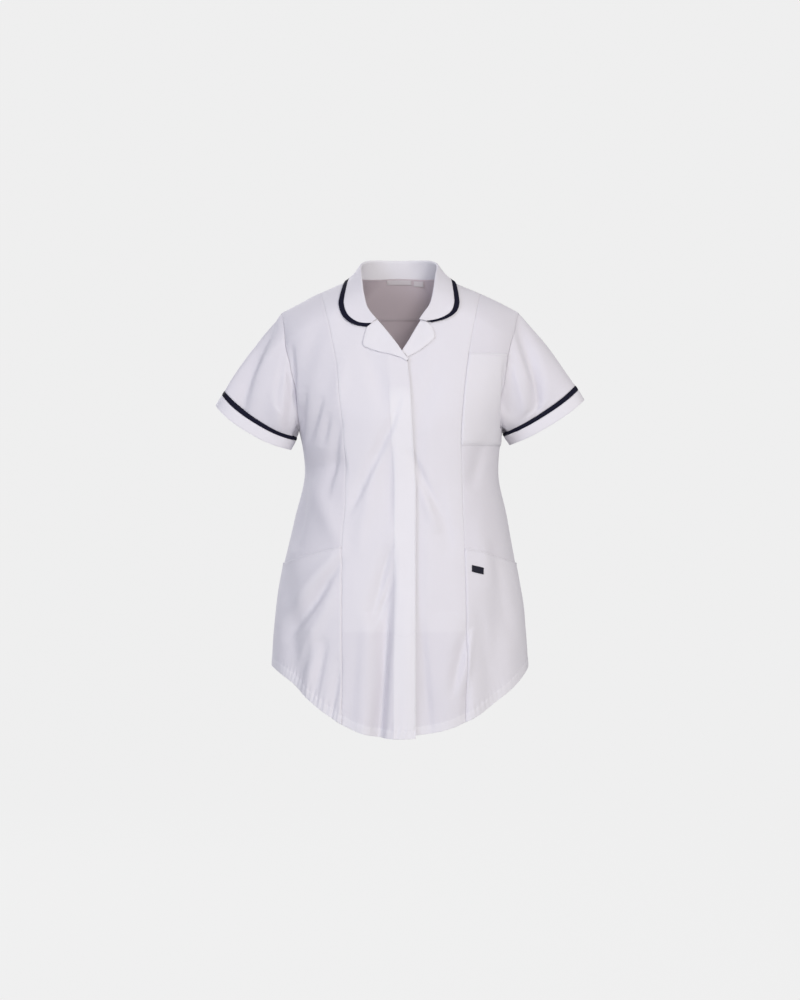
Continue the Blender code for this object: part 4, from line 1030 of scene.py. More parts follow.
def patch_points(grid, side, flat_points, lift, foot=1.0):
    """Outer and inner points of a pocket, which is pressed flat at its sides and rolls at its mouth."""
    across, up = lengths(flat_points, 1), lengths(flat_points)
    height = pressed(across, SEAM_PRESS) * pressed(across[:, -1:] - across) * foot
    lift = lift + MOUTH_ROLL * beside(up[-1] - up, MOUTH_REACH) + (LAY_GAP + POCKET_CLOTH) * height
    outer, inner = piece_points(grid, side, lift=lift, wall=POCKET_CLOTH * height)
    draw_in(outer, inner, ("first column", "last column"))
    return outer, inner


for side in SIGN:
    grid = hip_pocket_grid(side)
    flat_points, _ = piece_points(grid, side)
    lift = seam_shape(flat_points, ("first column", "last column")) + hem_shape(flat_points, grid, side)
    outer, inner = patch_points(grid, side, flat_points, lift)
    layers = np.maximum(0.25, HEM_LAYERS * on_hem(flat_points, grid, side)[1])
    name = f"hip_pocket_{side}"
    piece = sewn_cloth(name + "_cloth", name, POPLIN, outer, inner, layers=layers)
    lines = [across_line(outer, inner, row) for row in (HEM_STITCH_ROW, len(outer) - 2.0)]
    stitch_rows(name + "_stitches", lines)

# ---------------------------------------------------------------- chest pocket
# One patch pocket on the left side front, caught in the princess seam and close to the armhole. Its
# mouth is level with the chest, turned over and stitched.

CHEST_FOOT_Z = -0.281
CHEST_FOOT_ROWS = 12    # below the armpit
EDGE_LIFT = 0.0004      # of the pocket's middle over its stitched side
FOOT_PRESS = 0.0042
PocketWidth = namedtuple("PocketWidth", "z share")      # z is -1 at the foot, and 1 at the mouth
CHEST_POCKET = [PocketWidth(*row) for row in (
    (-1.0, 0.99), (0.0, 0.83), (0.2, 0.80), (0.4, 0.88), (0.6, 0.94), (0.8, 0.96), (1.0, 0.97))]


def up_line(outer, inner, column, start=1.0):
    """Line of points up one column of a piece."""
    return on_piece(outer, inner, np.arange(start, len(outer) - 1.0, 0.5), column)


rise = np.linspace(-1.0, 0.0, CHEST_FOOT_ROWS + 1)[:-1]
z = climb(ARMPIT_Z, CHEST_FOOT_Z, -rise)[:, None]
angle = climb(angle_at(princess_x("left", z), z), math.pi / 2, SIDE_SHARES)
foot = np.stack([angle, np.broadcast_to(z, angle.shape)], axis=-1)
grid = np.concatenate([foot, side_grids["left"][ARMPIT_ROW: ARMPIT_ROW + len(CHEST)]])
share = smooth(CHEST_POCKET, "share", np.concatenate([rise, CHEST]))
place = np.interp(SIDE_SHARES[None, :] * share[:, None], SIDE_SHARES, np.arange(len(SIDE_SHARES)))
low = np.clip(place.astype(int), 0, len(SIDE_SHARES) - 2)
part = (place - low)[..., None]
row = np.arange(len(grid))[:, None]
grid = grid[row, low] * (1 - part) + grid[row, low + 1] * part
flat_points, _ = piece_points(grid, "left")
across = lengths(flat_points, 1)
lift = seam_shape(flat_points, ("first column",))
lift += EDGE_LIFT * (1 - np.exp(-(across[:, -1:] - across) / MOUTH_REACH))
outer, inner = patch_points(grid, "left", flat_points, lift, pressed(lengths(flat_points), FOOT_PRESS))
chest_pocket = sewn_cloth("chest_pocket_cloth", "chest_pocket", POPLIN, outer, inner, layers=0.5)
lines = [across_line(outer, inner, row) for row in (len(outer) - 2.0, 1.0)]
lines.append(up_line(outer, inner, outer.shape[1] - 4.0, 0.5))
stitch_rows("chest_pocket_stitches", lines)

# ---------------------------------------------------------------- sleeves and cuffs
# Short set-in sleeves of the same poplin, each a tube with its seam under the arm. A navy tape is
# set in the seam between the sleeve and its turned-up cuff.

# Outer and inner folds of the sleeve where the tape starts, where the cuff starts, and at its edge.
Ring = namedtuple("Ring", "outer_x outer_z inner_x inner_z half_depth")
SLEEVE_RINGS = {
    "right": (Ring(0.3008, -0.1850, 0.1770, -0.2655, 0.045), Ring(0.3058, -0.1925, 0.1790, -0.2712, 0.045),
              Ring(0.3165, -0.2105, 0.1878, -0.2868, 0.046)),
    "left": (Ring(0.3012, -0.1762, 0.1765, -0.2585, 0.045), Ring(0.3064, -0.1835, 0.1787, -0.2640, 0.045),
             Ring(0.3165, -0.2010, 0.1890, -0.2784, 0.046)),
}
RING_ROUNDNESS = 2.5
RING_POINTS = 150       # round the armhole
RING_STEPS = 480        # round the outline that they are found on
SLEEVE_ROWS = 44
SLEEVE_GIRTH = 0.42
SLEEVE_FULLNESS = 0.006
SLEEVE_HEAD = 0.004     # fullness below the shoulder point
SLEEVE_RUMPLE = 1.2
PUCKER_START = 0.002    # below the armhole seam
FULL_TURN = math.radians(120)   # a sleeve that starts this far back lies on the seam
FRONT_DROOP = {"right": 0.0115, "left": 0.0072}     # the cuff hangs lower between its folds
BACK_DROOP = 0.0060
TURNED_GAP = 0.0003     # added to the seam's gap where a sleeve is turned back
TAPE_GAP = 0.0006       # either side of the tape of a cuff
TAPE_ROLL = 0.0006
TAPE_ROWS = 4
CUFF_ROWS = 8
CUFF_RISE = 0.0004
CUFF_LAYERS = 0.6

# Folds of a sleeve: from (round0, down0) to (round1, down1) as shares of the way round and down.
SleeveFold = namedtuple("SleeveFold", "round0 down0 round1 down1 half_width height")
SLEEVE_FOLDS = {
    "right": [SleeveFold(*row) for row in (
        (0.010, 0.08, 0.180, 1.12, 0.019, -0.0115),
        (0.24, 0.10, 0.36, 1.05, 0.020, 0.0085),
        (0.450, 0.15, 0.475, 1.10, 0.012, -0.0090),
        (0.87, 0.05, 0.82, 1.05, 0.020, -0.0109),
        (0.20, 0.10, 0.30, 0.60, 0.011, -0.0040),
        (0.02, 0.45, 0.08, 1.20, 0.010, 0.0036),
        (0.70, 0.15, 0.66, 0.90, 0.010, -0.0039),
    )],
    "left": [SleeveFold(*row) for row in (
        (0.450, 0.15, 0.475, 1.10, 0.012, -0.0090),
        (0.06, 0.00, 0.26, 0.90, 0.016, -0.0121),
        (0.86, 0.05, 0.80, 1.05, 0.020, -0.0109),
        (0.22, 0.15, 0.30, 0.80, 0.010, 0.0034),
        (0.12, 0.35, 0.30, 1.05, 0.009, -0.0034),
        (0.70, 0.15, 0.66, 0.90, 0.010, -0.0039),
    )],
}


def along_line(line, at, length=None):
    """Points of a line at distances from its start."""
    length = lengths(line) if length is None else length
    return np.stack([np.interp(at, length, line[:, axis]) for axis in range(3)], axis=1)


def rounded(wave):
    return np.sign(wave) * np.abs(wave) ** (2 / RING_ROUNDNESS)


def ring_points(ring, side, shares):
    """Points of one sleeve ring at shares of its way round, starting at the outer fold."""
    turn = np.linspace(0.0, 2 * math.pi, RING_STEPS + 1)
    depth = -rounded(np.sin(turn)) * ring.half_depth
    outer = np.array([ring.outer_x, ring.outer_z])
    inner = np.array([ring.inner_x, ring.inner_z])
    across = (outer - inner) / 2
    down = unit(np.array([-across[1], across[0]]))
    droop = np.where(depth < 0, FRONT_DROOP[side], BACK_DROOP) * np.sin(turn) ** 2
    flat = (outer + inner) / 2 + rounded(np.cos(turn))[:, None] * across - droop[:, None] * down
    line = np.stack([flat[:, 0], depth, flat[:, 1]], axis=1)
    return along_line(line, shares * lengths(line)[-1]) * (SIGN[side], 1, 1)


def sleeve_fold_height(side, shares, downs):
    """Height of the folds of one sleeve over its rows and columns."""
    height = np.zeros((len(downs), len(shares)))
    for fold in SLEEVE_FOLDS[side]:
        down = (downs - fold.down0) / (fold.down1 - fold.down0)
        across = (shares[None, :] - climb(fold.round0, fold.round1, down)) * SLEEVE_GIRTH
        swell = np.sqrt(np.clip(4 * down * (1 - down), 0.0, 1.0))
        height = height + fold.height * swell * beside(across, fold.half_width)
    return height


def around(ring):
    """From each point of a closed line's neighbour before it to the one after it."""
    return np.roll(ring, -1, axis=-2) - np.roll(ring, 1, axis=-2)


def armhole_loop(side):
    """The armhole from the shoulder down the front and up the back, evenly: outer and inner points."""
    front, rear = armhole_edges[side]
    loops = [np.concatenate([front[wall][::-1], rear[wall][1:-1], front[wall][-1:]]) for wall in (0, 1)]
    length = lengths(loops[0])
    at = np.linspace(0.0, length[-1], RING_POINTS + 1)[:-1]
    return [along_line(loop, at, length) for loop in loops]


NAVY_TAPE = woven_finish("navy_tape", (0.0065, 0.0065, 0.017, 1.0), (0.0095, 0.0095, 0.023, 1.0),
                         0.0009, 0.00012, 0.85, 0.0, gloss=0.12)
NAVY_THREAD = thread_finish("navy_thread", (0.008, 0.008, 0.020, 1.0))


def steps_down(*shares):
    return np.array(shares)[:, None, None]


for side in SIGN:
    # The sleeve starts on the armhole's edge, turned towards where it hangs.
    outer_loop, inner_loop = armhole_loop(side)
    outward = unit(outer_loop - inner_loop)
    away = unit(np.cross(around(outer_loop), outward)) * -SIGN[side]
    shares = np.arange(RING_POINTS) / RING_POINTS
    tape_top, cuff_top, cuff_edge = (ring_points(ring, side, shares) for ring in SLEEVE_RINGS[side])
    heading = unit(tape_top - outer_loop)
    bend = np.arctan2((heading * outward).sum(1), (heading * away).sum(1))[:, None]
    turn = np.clip(bend / FULL_TURN, 0.0, 1.0)
    start = outer_loop + unit(climb(away, outward, turn)) * (SEAM_GAP + turn * TURNED_GAP)
    seam_wall = away * np.sin(bend) - outward * np.cos(bend)
    inner_start = np.where(bend < 0, inner_loop + away * SEAM_GAP, start + seam_wall * CLOTH)

    # Its fullness, folds and puckers, over the straight way to the tape.
    rise = steps_down(0.0, 0.006, 0.014, 0.026, *np.linspace(0.045, 1.0, SLEEVE_ROWS))
    sleeve = climb(start, tape_top, rise)
    from_arm = unit(sleeve - sleeve.mean(axis=1, keepdims=True))
    full = np.abs(from_arm[..., 1:2]) * SLEEVE_FULLNESS
    full = full + np.clip(from_arm[..., 2:3], 0.0, 1.0) * SLEEVE_HEAD
    full = full * np.sin(rise * math.pi) + sleeve_fold_height(side, shares, rise[:, 0])[..., None]
    down = lengths(sleeve)[..., None]
    full = full + SEAM_DIP * (1 - beside(down, SEAM_ROLL)) * (1 - rise)
    ends = np.sqrt(np.sin(rise * math.pi))
    full = full + rumple(sleeve)[..., None] * ends * SLEEVE_RUMPLE
    ripple = pucker_wave(shares * SLEEVE_GIRTH)[None, :, None]
    full = full + PUCKER * ripple * np.exp(-down / PUCKER_REACH) * np.clip(down / PUCKER_START, 0, 1)
    sleeve = sleeve + from_arm * full

    # Tape and cuff go on from its end.
    tape_steps = steps_down(*np.linspace(0.0, 1.0, TAPE_ROWS + 1))
    cuff_steps = steps_down(0.0, 0.03, 0.09, *np.linspace(0.18, 0.93, CUFF_ROWS), 0.98, 1.0)
    walls = np.concatenate([sleeve, climb(tape_top, cuff_top, tape_steps[1:]),
                            climb(cuff_top, cuff_edge, cuff_steps[1:])])
    normals = unit(np.cross(around(walls), np.gradient(walls, axis=0)))
    if ((walls - walls.mean(axis=1, keepdims=True)) * normals).sum() < 0:
        normals = -normals
    inside = walls - normals * CLOTH
    inside[0] = inner_start
    tape_row = len(rise) - 1
    cuff_row = tape_row + TAPE_ROWS
    shown = walls.copy()
    bulge = np.sin(tape_steps * math.pi) ** 0.6 * TAPE_ROLL
    shown[tape_row: cuff_row + 1] += normals[tape_row: cuff_row + 1] * bulge
    shown[cuff_row:] += normals[cuff_row:] * CUFF_RISE * (1 - beside(cuff_steps, 0.12))

    sleeve_walls = walls[:tape_row + 1].copy(), inside[:tape_row + 1].copy()
    tape_walls = shown[tape_row: cuff_row + 1].copy(), inside[tape_row: cuff_row + 1].copy()
    cuff_walls = shown[cuff_row:].copy(), inside[cuff_row:].copy()
    draw_in(*sleeve_walls, ("last row",), TAPE_GAP)
    draw_in(*tape_walls, ("first row", "last row"), TAPE_GAP)
    draw_in(*cuff_walls, ("first row",), TAPE_GAP)
    in_layers = {"ring": True, "layers": CUFF_LAYERS}
    sleeve = sewn_cloth(f"sleeve_{side}_cloth", f"sleeve_{side}", POPLIN, *sleeve_walls, ring=True)
    tape = sewn_cloth(f"cuff_tape_{side}_band", f"cuff_tape_{side}", NAVY_TAPE, *tape_walls,
                      "contrast_tape", **in_layers)
    cuff = sewn_cloth(f"cuff_{side}_cloth", f"cuff_{side}", POPLIN, *cuff_walls, **in_layers)
    closed = [np.concatenate([wall, wall[:, :1]], axis=1) for wall in (shown, inside)]
    round_it = np.arange(0.0, RING_POINTS, 0.5)
    lines = [on_piece(*closed, row, round_it) for row in (cuff_row + 1.0, len(shown) - 3.2)]
    stitches = stitch_rows(f"cuff_{side}_stitches", lines)

# ---------------------------------------------------------------- collar
# One collar of two layers of poplin with interlining between them. It is sewn to the neck, stands
# up, turns over the roll line and lies down on the shoulders, with navy tape along its edge.

COLLAR_CLOTH = 0.0016
COLLAR_LIFT = 0.0013    # under the collar's edge
STAND_INSIDE = 0.0021   # how far the stand's foot lies inside the back, over the facing's top
STAND_DROP = 0.0016
LANDING = 0.15          # slope at which collar and reveres come down on the cloth
FOLD_RADIUS = 0.0014    # turn of the collar and reveres over the roll line
FALL_PULL = 0.36        # how long the fall keeps its first and last directions
TRIM_WIDTH = 0.0092
TRIM_END = {"right": 0.0098, "left": 0.0096}    # its width at the collar's front ends
TRIM_RISE = 0.00025
TRIM_SHARES = np.array((1.0, 0.93, 0.78, 0.5, 0.22, 0.07, 0.0))
STATION_STEPS = 7       # rows of points from one station to the next
STATION_APART = 0.004   # added to the distance between stations, so that close ones don't kink
STAND_STEPS = (0.0, 0.06, 0.20, 0.38, 0.56, 0.74, 0.90, 1.0)
ROLL_TURNS = (35, 65, 90, 115, 145, 180)
FALL_COUNT = 22
FALL_POINTS = 61        # on the curve that the rows of the fall are found on
FALL_LAYERS = 0.25
TAPE_DIP = 0.0003       # of the cloth beside the tape's stitches
TAPE_DIP_REACH = 0.0022

# Collar stations from the centre back to the front end: a place on the neck seam, the roll line,
# and the outer edge, on the back as far as neck_x is given. The roll line leans to the right.
Station = namedtuple("Station", "neck_x neck_z roll_x roll_y roll_z edge_x edge_z lean sag reach")
COLLAR = [Station(*row) for row in (
    (0.0000, None, 0.0000, 0.0560, 0.0430, 0.0000, -0.0140, 0.0010, 0.0, 0.0),
    (0.0220, None, 0.0220, 0.0540, 0.0432, 0.0280, -0.0145, 0.0010, 0.0, 0.0),
    (0.0420, None, 0.0410, 0.0450, 0.0428, 0.0540, -0.0145, 0.0010, 0.0, 0.0),
    (0.0580, None, 0.0560, 0.0310, 0.0400, 0.0750, -0.0115, 0.0010, 0.0, 0.0),
    (0.0685, None, 0.0642, 0.0140, 0.0345, 0.0865, -0.0040, 0.0012, 0.0, 0.0),
    (0.0706, None, 0.0656, 0.0060, 0.0310, 0.0900, 0.0006, 0.0014, 0.0, 0.0),
    (0.0720, None, 0.0658, 0.0000, 0.0280, 0.0915, 0.0021, 0.0016, 0.0, 0.0),
    (None, 0.0090, 0.0656, -0.0070, 0.0240, 0.0930, 0.0003, 0.0018, 0.0, 0.0),
    (None, 0.0050, 0.0645, -0.0150, 0.0190, 0.0950, -0.0040, 0.0022, 0.0, 0.0),
    (None, -0.0060, 0.0622, -0.0410, 0.0020, 0.0980, -0.0165, 0.0028, 0.0, 0.0006),
    (None, -0.0220, 0.0594, -0.0618, -0.0190, 0.1003, -0.0290, 0.0030, 0.0, 0.0012),
    (None, -0.0400, 0.0540, -0.0752, -0.0420, 0.1013, -0.0430, 0.0033, 0.0, 0.0017),
    (None, -0.0540, 0.0465, -0.0802, -0.0550, 0.0958, -0.0590, 0.0045, 0.0032, 0.0010),
    (None, -0.0630, 0.0405, -0.0838, -0.0630, 0.0800, -0.0715, 0.0040, 0.0045, 0.0008),
    (None, -0.0688, 0.0364, -0.0860, -0.0688, 0.0545, -0.0782, 0.0035, 0.0042, 0.0010),
)]


def neck_seam_point(station, side):
    """Middle of the body cloth's edge at one collar station."""
    on_back = station.neck_z is None
    if on_back:
        x, z = station.neck_x, float(neck_seam_height(station.neck_x)) - STAND_DROP
    else:
        x, z = float(smooth(FRONT_EDGE, side, station.neck_z)), station.neck_z
    lift = -STAND_INSIDE if on_back else float(overlap(x, side)) - CLOTH / 2
    return cloth_point(SIGN[side] * angle_at(x, z), z, on_back, lift)[0]


def collar_side(side):
    """Seam, roll and edge points of half the collar, and the direction out of the cloth at the edge."""
    sign = SIGN[side]
    rows = []
    for station in COLLAR:
        roll = np.array([sign * station.roll_x - station.lean, station.roll_y, station.roll_z])
        z = station.edge_z + sign * station.sag
        angle = sign * angle_at(station.edge_x - sign * station.reach, z)
        edge, outward = cloth_point(angle, z, station.neck_z is None, COLLAR_CLOTH / 2 + COLLAR_LIFT)
        rows.append([neck_seam_point(station, side), roll, edge, outward])
    return np.array(rows)


def through(rows, steps):
    """A smooth curve through rows of points, with a number of steps from each to the next."""
    apart = np.linalg.norm(np.diff(rows[:, 2], axis=0), axis=1) + STATION_APART
    key = np.concatenate([[0.0], np.cumsum(apart)])
    slope = np.gradient(rows, key, axis=0)
    low = np.append(np.repeat(np.arange(len(apart)), steps), len(apart) - 1)
    t = np.append(np.tile(np.arange(steps) / steps, len(apart)), 1.0)[:, None, None]
    return between(rows, slope, apart[low][:, None, None], low, t)


def turned_leaf(base, tip, edge, edge_outward, path):
    """Middle lines of cloth that rises from a seam, turns over at a fold and lies down outwards.

    Returns the lines up to the fold, and the falling part as lines evenly spaced from fold to edge.
    """
    fall = unit(edge - tip)
    crest = unit(unit(tip - base) - fall)
    apart = -unit(np.cross(path, crest)) * FOLD_RADIUS
    centre = tip - crest * FOLD_RADIUS
    after = centre + apart
    lines = [climb(base, centre - apart, t) for t in STAND_STEPS]
    for turn in np.radians(ROLL_TURNS):
        lines.append(centre + crest * FOLD_RADIUS * math.sin(turn) - apart * math.cos(turn))
    landing = edge - after
    pull = np.linalg.norm(landing, axis=1, keepdims=True) * FALL_PULL
    landing = unit(landing - edge_outward * (landing * edge_outward).sum(1)[:, None])
    landing = unit(landing - edge_outward * LANDING)
    one = after + (fall - crest * 0.2) * pull
    two = edge - landing * pull
    t = np.linspace(0.0, 1.0, FALL_POINTS)[:, None, None]
    falling = after * (1 - t) ** 3 + one * 3 * t * (1 - t) ** 2 + two * 3 * t ** 2 * (1 - t) + edge * t ** 3
    return np.stack(lines, axis=1), falling.transpose(1, 0, 2)


def along_fall(falling, places):
    """Points of the falling part at distances from the outer edge, given for each row."""
    return np.array([along_line(line[::-1], place) for line, place in zip(falling, places)])


def two_faces(lines, thickness):
    """Outer and inner faces of cloth about its middle lines."""
    normals = unit(np.cross(np.gradient(lines, axis=1), np.gradient(lines, axis=0)))
    return lines + normals * thickness / 2, lines - normals * thickness / 2


rows = through(np.concatenate([collar_side("right")[::-1], collar_side("left")[1:]]), STATION_STEPS)
seam, roll, edge, outward = (rows[:, column] for column in range(4))
seam = seam + unit(roll - seam) * (COLLAR_CLOTH / 2 + SEAM_GAP)
stand, falling = turned_leaf(seam, roll, edge, unit(outward), unit(np.gradient(roll, axis=0)))
whole = lengths(falling, 1)[:, -1:]
trim_ends = TRIM_END["right"], TRIM_WIDTH, TRIM_WIDTH, TRIM_END["left"]
trim_widths = np.interp(np.linspace(-1.0, 1.0, len(whole)), (-1.0, -0.86, 0.80, 1.0), trim_ends)[:, None]
from_tape = (whole - trim_widths - SEAM_GAP) * np.linspace(1.0, 0.0, FALL_COUNT)[1:] + SEAM_GAP
upper = np.concatenate([stand, along_fall(falling, from_tape + trim_widths)], axis=1)
trim = along_fall(falling, TRIM_SHARES * trim_widths)
outer, inner = two_faces(np.concatenate([upper, trim], axis=1), COLLAR_CLOTH)
fall_start, split = stand.shape[1], upper.shape[1]
normal = unit(outer - inner)
ripple = pucker_wave(lengths(outer)[:, -1:])
dip = beside(from_tape, TAPE_DIP_REACH) * TAPE_DIP + PUCKER * 0.6 * ripple * np.exp(-from_tape / 0.006)
outer[:, fall_start: split] -= normal[:, fall_start: split] * dip[..., None]
rounding = np.sin(np.linspace(0.12, 0.88, len(TRIM_SHARES)) * math.pi)
outer[:, split:] += normal[:, split:] * TRIM_RISE * rounding[:, None]
# The stand gets full whiteness and the fall of the same two layers a quarter: the stand's extra is painted
# light over the shade in its hollow.
layers = np.where(np.arange(split) < len(STAND_STEPS) + 2, 1.0, FALL_LAYERS)
collar = sewn_cloth("collar_cloth", "collar", POPLIN, outer[:, :split], inner[:, :split], layers=layers)
tape = sewn_cloth("collar_tape_band", "collar_tape", NAVY_TAPE, outer[:, split:], inner[:, split:],
                  "contrast_tape")
along_rows = np.arange(1.0, len(outer) - 2.0, 0.5)
lines = [on_piece(outer, inner, along_rows, column) for column in (split + 1.15, outer.shape[1] - 2.6)]
stitches = stitch_rows("collar_tape_stitches", lines, NAVY_THREAD)

# ---------------------------------------------------------------- reveres
# The top of each front edge turns out over the chest and lies there as a revere, of the front and
# its facing. It meets the collar's end, and the right one ends in the overlap of the fronts.

# The height of the roll line, and the place of the edge beside it, from the top down. The rest of
# the left revere would lie under the right front.
REVERES = {
    "right": ((-0.0640, 0.0565, -0.0850), (-0.0760, 0.0605, -0.0980), (-0.0860, 0.0632, -0.1105),
              (-0.0935, 0.0604, -0.1155), (-0.1020, 0.0470, -0.1210), (-0.1110, 0.0331, -0.1255),
              (-0.1210, 0.0120, -0.1310), (-0.1310, -0.0040, -0.1365), (-0.1395, -0.0098, -0.1412)),
    "left": ((-0.0660, 0.0532, -0.0812), (-0.0760, 0.0566, -0.0885), (-0.0860, 0.0588, -0.1000),
             (-0.0960, 0.0480, -0.1110), (-0.1060, 0.0345, -0.1205), (-0.1150, 0.0215, -0.1285),
             (-0.1235, 0.0125, -0.1330)),
}
REVERE_STEPS = 9
REVERE_COUNT = 20
REVERE_LAYERS = 0.7
REVERE_FOOT = 0.0012    # how far inside the front edge a revere starts
REVERE_TIP = 0.0030     # how far inside, and out of the front, its fold lies
REVERE_STAND = 0.0016


def front_place(side, x, z, lift):
    """A place on a centre front and the direction out of it there."""
    return cloth_point(SIGN[side] * angle_at(x, z), z, False, lift)


for side in SIGN:
    table = np.array(REVERES[side])
    steps = np.linspace(0.0, len(table) - 1.0, (len(table) - 1) * REVERE_STEPS + 1)
    roll_z, edge_x, edge_z = (np.interp(steps, np.arange(len(table)), column) for column in table.T)
    x = smooth(FRONT_EDGE, side, roll_z)
    lift = overlap(x, side) - CLOTH / 2
    roll, outward = front_place(side, x, roll_z, lift)
    inward = unit(front_place(side, x - 0.003, roll_z, lift)[0] - roll)
    base = roll + inward * REVERE_FOOT
    tip = roll + inward * REVERE_TIP + outward * REVERE_STAND
    edge, outward = front_place(side, edge_x, edge_z, overlap(edge_x, side) + COLLAR_CLOTH / 2 + LAY_GAP)
    stand, falling = turned_leaf(base, tip, edge, outward, unit(np.gradient(tip, axis=0)) * SIGN[side])
    places = lengths(falling, 1)[:, -1:] * np.linspace(1.0, 0.0, REVERE_COUNT)[1:]
    lines = np.concatenate([stand[:, 3:], along_fall(falling, places)], axis=1)
    outer, inner = two_faces(lines, COLLAR_CLOTH)
    name = f"revere_{side}"
    revere = sewn_cloth(name + "_cloth", name, POPLIN, outer, inner, layers=REVERE_LAYERS)
    stitches = stitch_rows(name + "_stitches", [up_line(outer, inner, outer.shape[1] - 2.0)])

# ---------------------------------------------------------------- labels
# A bare satin label and a size tab are sewn inside the back of the neck, and a small bare navy
# tab lies on the left hip pocket. Nothing is written on them.

LABEL_CLOTH = 0.0007
LABEL_STITCH = {"Pitch": 0.0018, "Stitch length": 0.0013, "Thread width": 0.0003}
LABEL_COLUMNS, LABEL_ROWS = 15, 9
Label = namedtuple("Label", "name back x z width height slope lift")
LABELS = (
    Label("neck_label", True, -0.0014, 0.0073, 0.0430, 0.0075, 0.0, -0.0036),
    Label("size_tab", True, 0.0334, 0.0056, 0.0180, 0.0090, 0.0, -0.0054),
    Label("pocket_label", False, 0.1284, -0.4895, 0.0190, 0.0110, -0.27, 0.0029),
)
LABEL_SATIN = woven_finish("label_satin_finish", (0.80, 0.75, 0.76, 1.0), (0.76, 0.71, 0.72, 1.0),
                           0.0003, 0.00005, 0.38, 0.05)
LABEL_NAVY = woven_finish("label_woven_finish", (0.0065, 0.0070, 0.016, 1.0), (0.0090, 0.0095, 0.020, 1.0),
                          0.0005, 0.00012, 0.75, 0.0)

label_pieces = {}
for label in LABELS:
    across = np.linspace(-0.5, 0.5, LABEL_COLUMNS)[None, :] * label.width
    up = np.linspace(-0.5, 0.5, LABEL_ROWS)[:, None] * label.height
    grid = place_at(label.x + across + 0 * up, label.z + up + label.slope * across)
    outer, inner = piece_points(grid, "left", back=label.back, lift=label.lift, wall=LABEL_CLOTH)
    finish, slot_name = (LABEL_SATIN, "label_satin") if label.back else (LABEL_NAVY, "label_woven")
    piece = sewn_cloth(label.name + "_cloth", label.name, finish, outer, inner, slot_name)
    faces = (inner, outer) if label.back else (outer, inner)
    ends = [on_piece(*faces, np.arange(0.4, 7.7, 0.4), column) for column in (0.8, LABEL_COLUMNS - 1.8)]
    thread = WHITE_THREAD if label.back else NAVY_THREAD
    stitches = stitch_rows(label.name + "_stitches", ends, thread, LABEL_STITCH)
    label_pieces[label.name] = [piece, stitches]

# ---------------------------------------------------------------- floor, light and camera
# The tunic hangs free in a round, pale studio, whose floor turns up into its wall and ceiling. A
# key light in front, to the left of the wearer, and a wider spill light near the camera light it;
# a cool fill light comes from the other side, and a back light from behind.

STUDIO_RADIUS = 7.0
STUDIO_FLOOR_Z = -1.6
STUDIO_HEIGHT = 7.6
STUDIO_BEND = 1.6
STUDIO_SIDES = 48
quarter = np.linspace(0.0, math.pi / 2, 13)
inset, rise = STUDIO_BEND * (1 - np.sin(quarter)), STUDIO_BEND * (1 - np.cos(quarter))
radius = np.concatenate([[0.0], STUDIO_RADIUS - inset, STUDIO_RADIUS - inset[::-1], [0.0]])[:, None]
z = np.concatenate([[0.0], rise, STUDIO_HEIGHT - rise[::-1], [STUDIO_HEIGHT]])[:, None] + STUDIO_FLOOR_Z
turn = np.linspace(0.0, 2 * math.pi, STUDIO_SIDES + 1)[:-1]
points = np.stack([radius * np.cos(turn), radius * np.sin(turn), z + 0 * turn], axis=-1)
number = np.arange(points[..., 0].size).reshape(points.shape[:2])
faces = quads(np.concatenate([number, number[:, :1]], axis=1))[:, ::-1]
mesh = bpy.data.meshes.new("studio")
mesh.from_pydata(points.reshape(-1, 3).tolist(), [], faces.tolist())
mesh.shade_smooth()
mesh.materials.append(plain_finish("studio_paper", {
    "Base Color": (0.02, 0.02, 0.02, 1.0), "Roughness": 0.95, "Specular IOR Level": 0.0,
    "Emission Color": (1.0, 1.0, 1.0, 1.0), "Emission Strength": 0.85})[0])
studio = placed("studio", mesh)
studio.visible_diffuse = False      # the lamps and the world light the tunic, and the paper doesn't
studio.visible_glossy = False
studio.visible_shadow = False

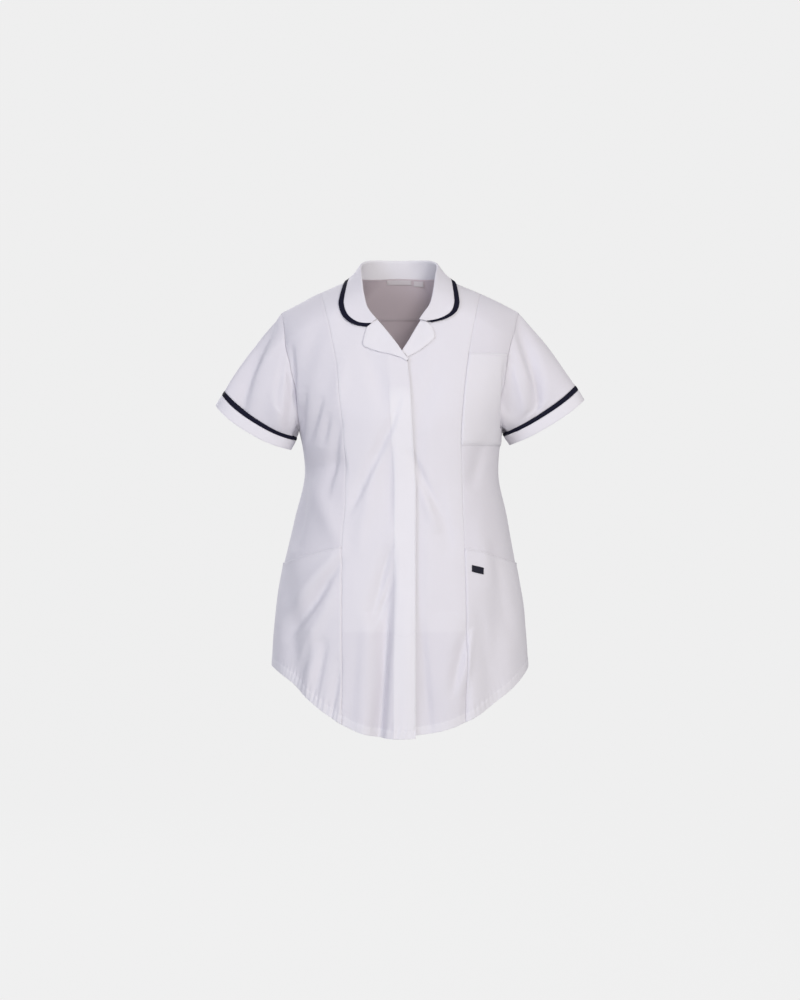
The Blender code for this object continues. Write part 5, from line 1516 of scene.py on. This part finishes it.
scene = bpy.context.scene
scene.view_settings.view_transform = "Standard"
scene.world = scene.world or bpy.data.worlds.new("studio")
scene.world.use_nodes = True
sky = scene.world.node_tree
set_sockets(sky, sky.nodes["Background"], {"Color": (0.970, 0.962, 1.0, 1.0), "Strength": 0.48})


def soft_light(name, place, aim_z, width, power, colour=(1.0, 1.0, 1.0)):
    """A square soft box aimed at a height on the tunic's middle."""
    lamp = bpy.data.lights.new(name, "AREA")
    lamp.shape = "SQUARE"
    lamp.size = width
    lamp.energy = power
    lamp.color = colour
    towards = unit(np.array((0.0, 0.0, aim_z)) - place)
    side_way = unit(np.cross(towards, (0.0, 0.0, 1.0)))
    turn = np.eye(4)
    turn[:3] = np.stack([side_way, np.cross(side_way, towards), -towards, place], axis=1)
    box = placed(name, lamp)
    box.matrix_world = turn.T.tolist()
    return box


key = soft_light("key_light", (2.5, -4.6, 1.7), -0.40, 1.0, 88.0, (1.0, 0.958, 0.900))
soft_light("spill_light", (0.8, -4.9, 0.4), -0.38, 1.2, 71.0, (1.0, 0.980, 0.965))
soft_light("fill_light", (-3.9, -3.5, 1.2), -0.40, 2.0, 66.0, (0.74, 0.80, 1.0))
soft_light("back_light", (-2.2, 4.0, 1.6), -0.35, 2.0, 110.0)

# The key light is kept off the inside of the back, which lies in the tunic's shade.
shaded = bpy.data.collections.new("kept_in_shade")
for kept in (back, facing, label_pieces["neck_label"][0], label_pieces["size_tab"][0]):
    shaded.objects.link(kept)
for kept in shaded.collection_objects:
    kept.light_linking.link_state = "EXCLUDE"
key.light_linking.receiver_collection = shaded

CAMERA_DISTANCE = 4.0
CAMERA_Z = -0.373
VIEW_HEIGHT = 1.72      # what the camera sees from top to bottom at the tunic's middle
lens = bpy.data.cameras.new("camera")
lens.sensor_width = 36.0
lens.lens = lens.sensor_width * CAMERA_DISTANCE / VIEW_HEIGHT
camera = placed("camera", lens)
camera.location = (0.0, -CAMERA_DISTANCE, CAMERA_Z)
camera.rotation_euler = (math.pi / 2, 0.0, 0.0)
scene.camera = camera

bpy.context.view_layer.update()
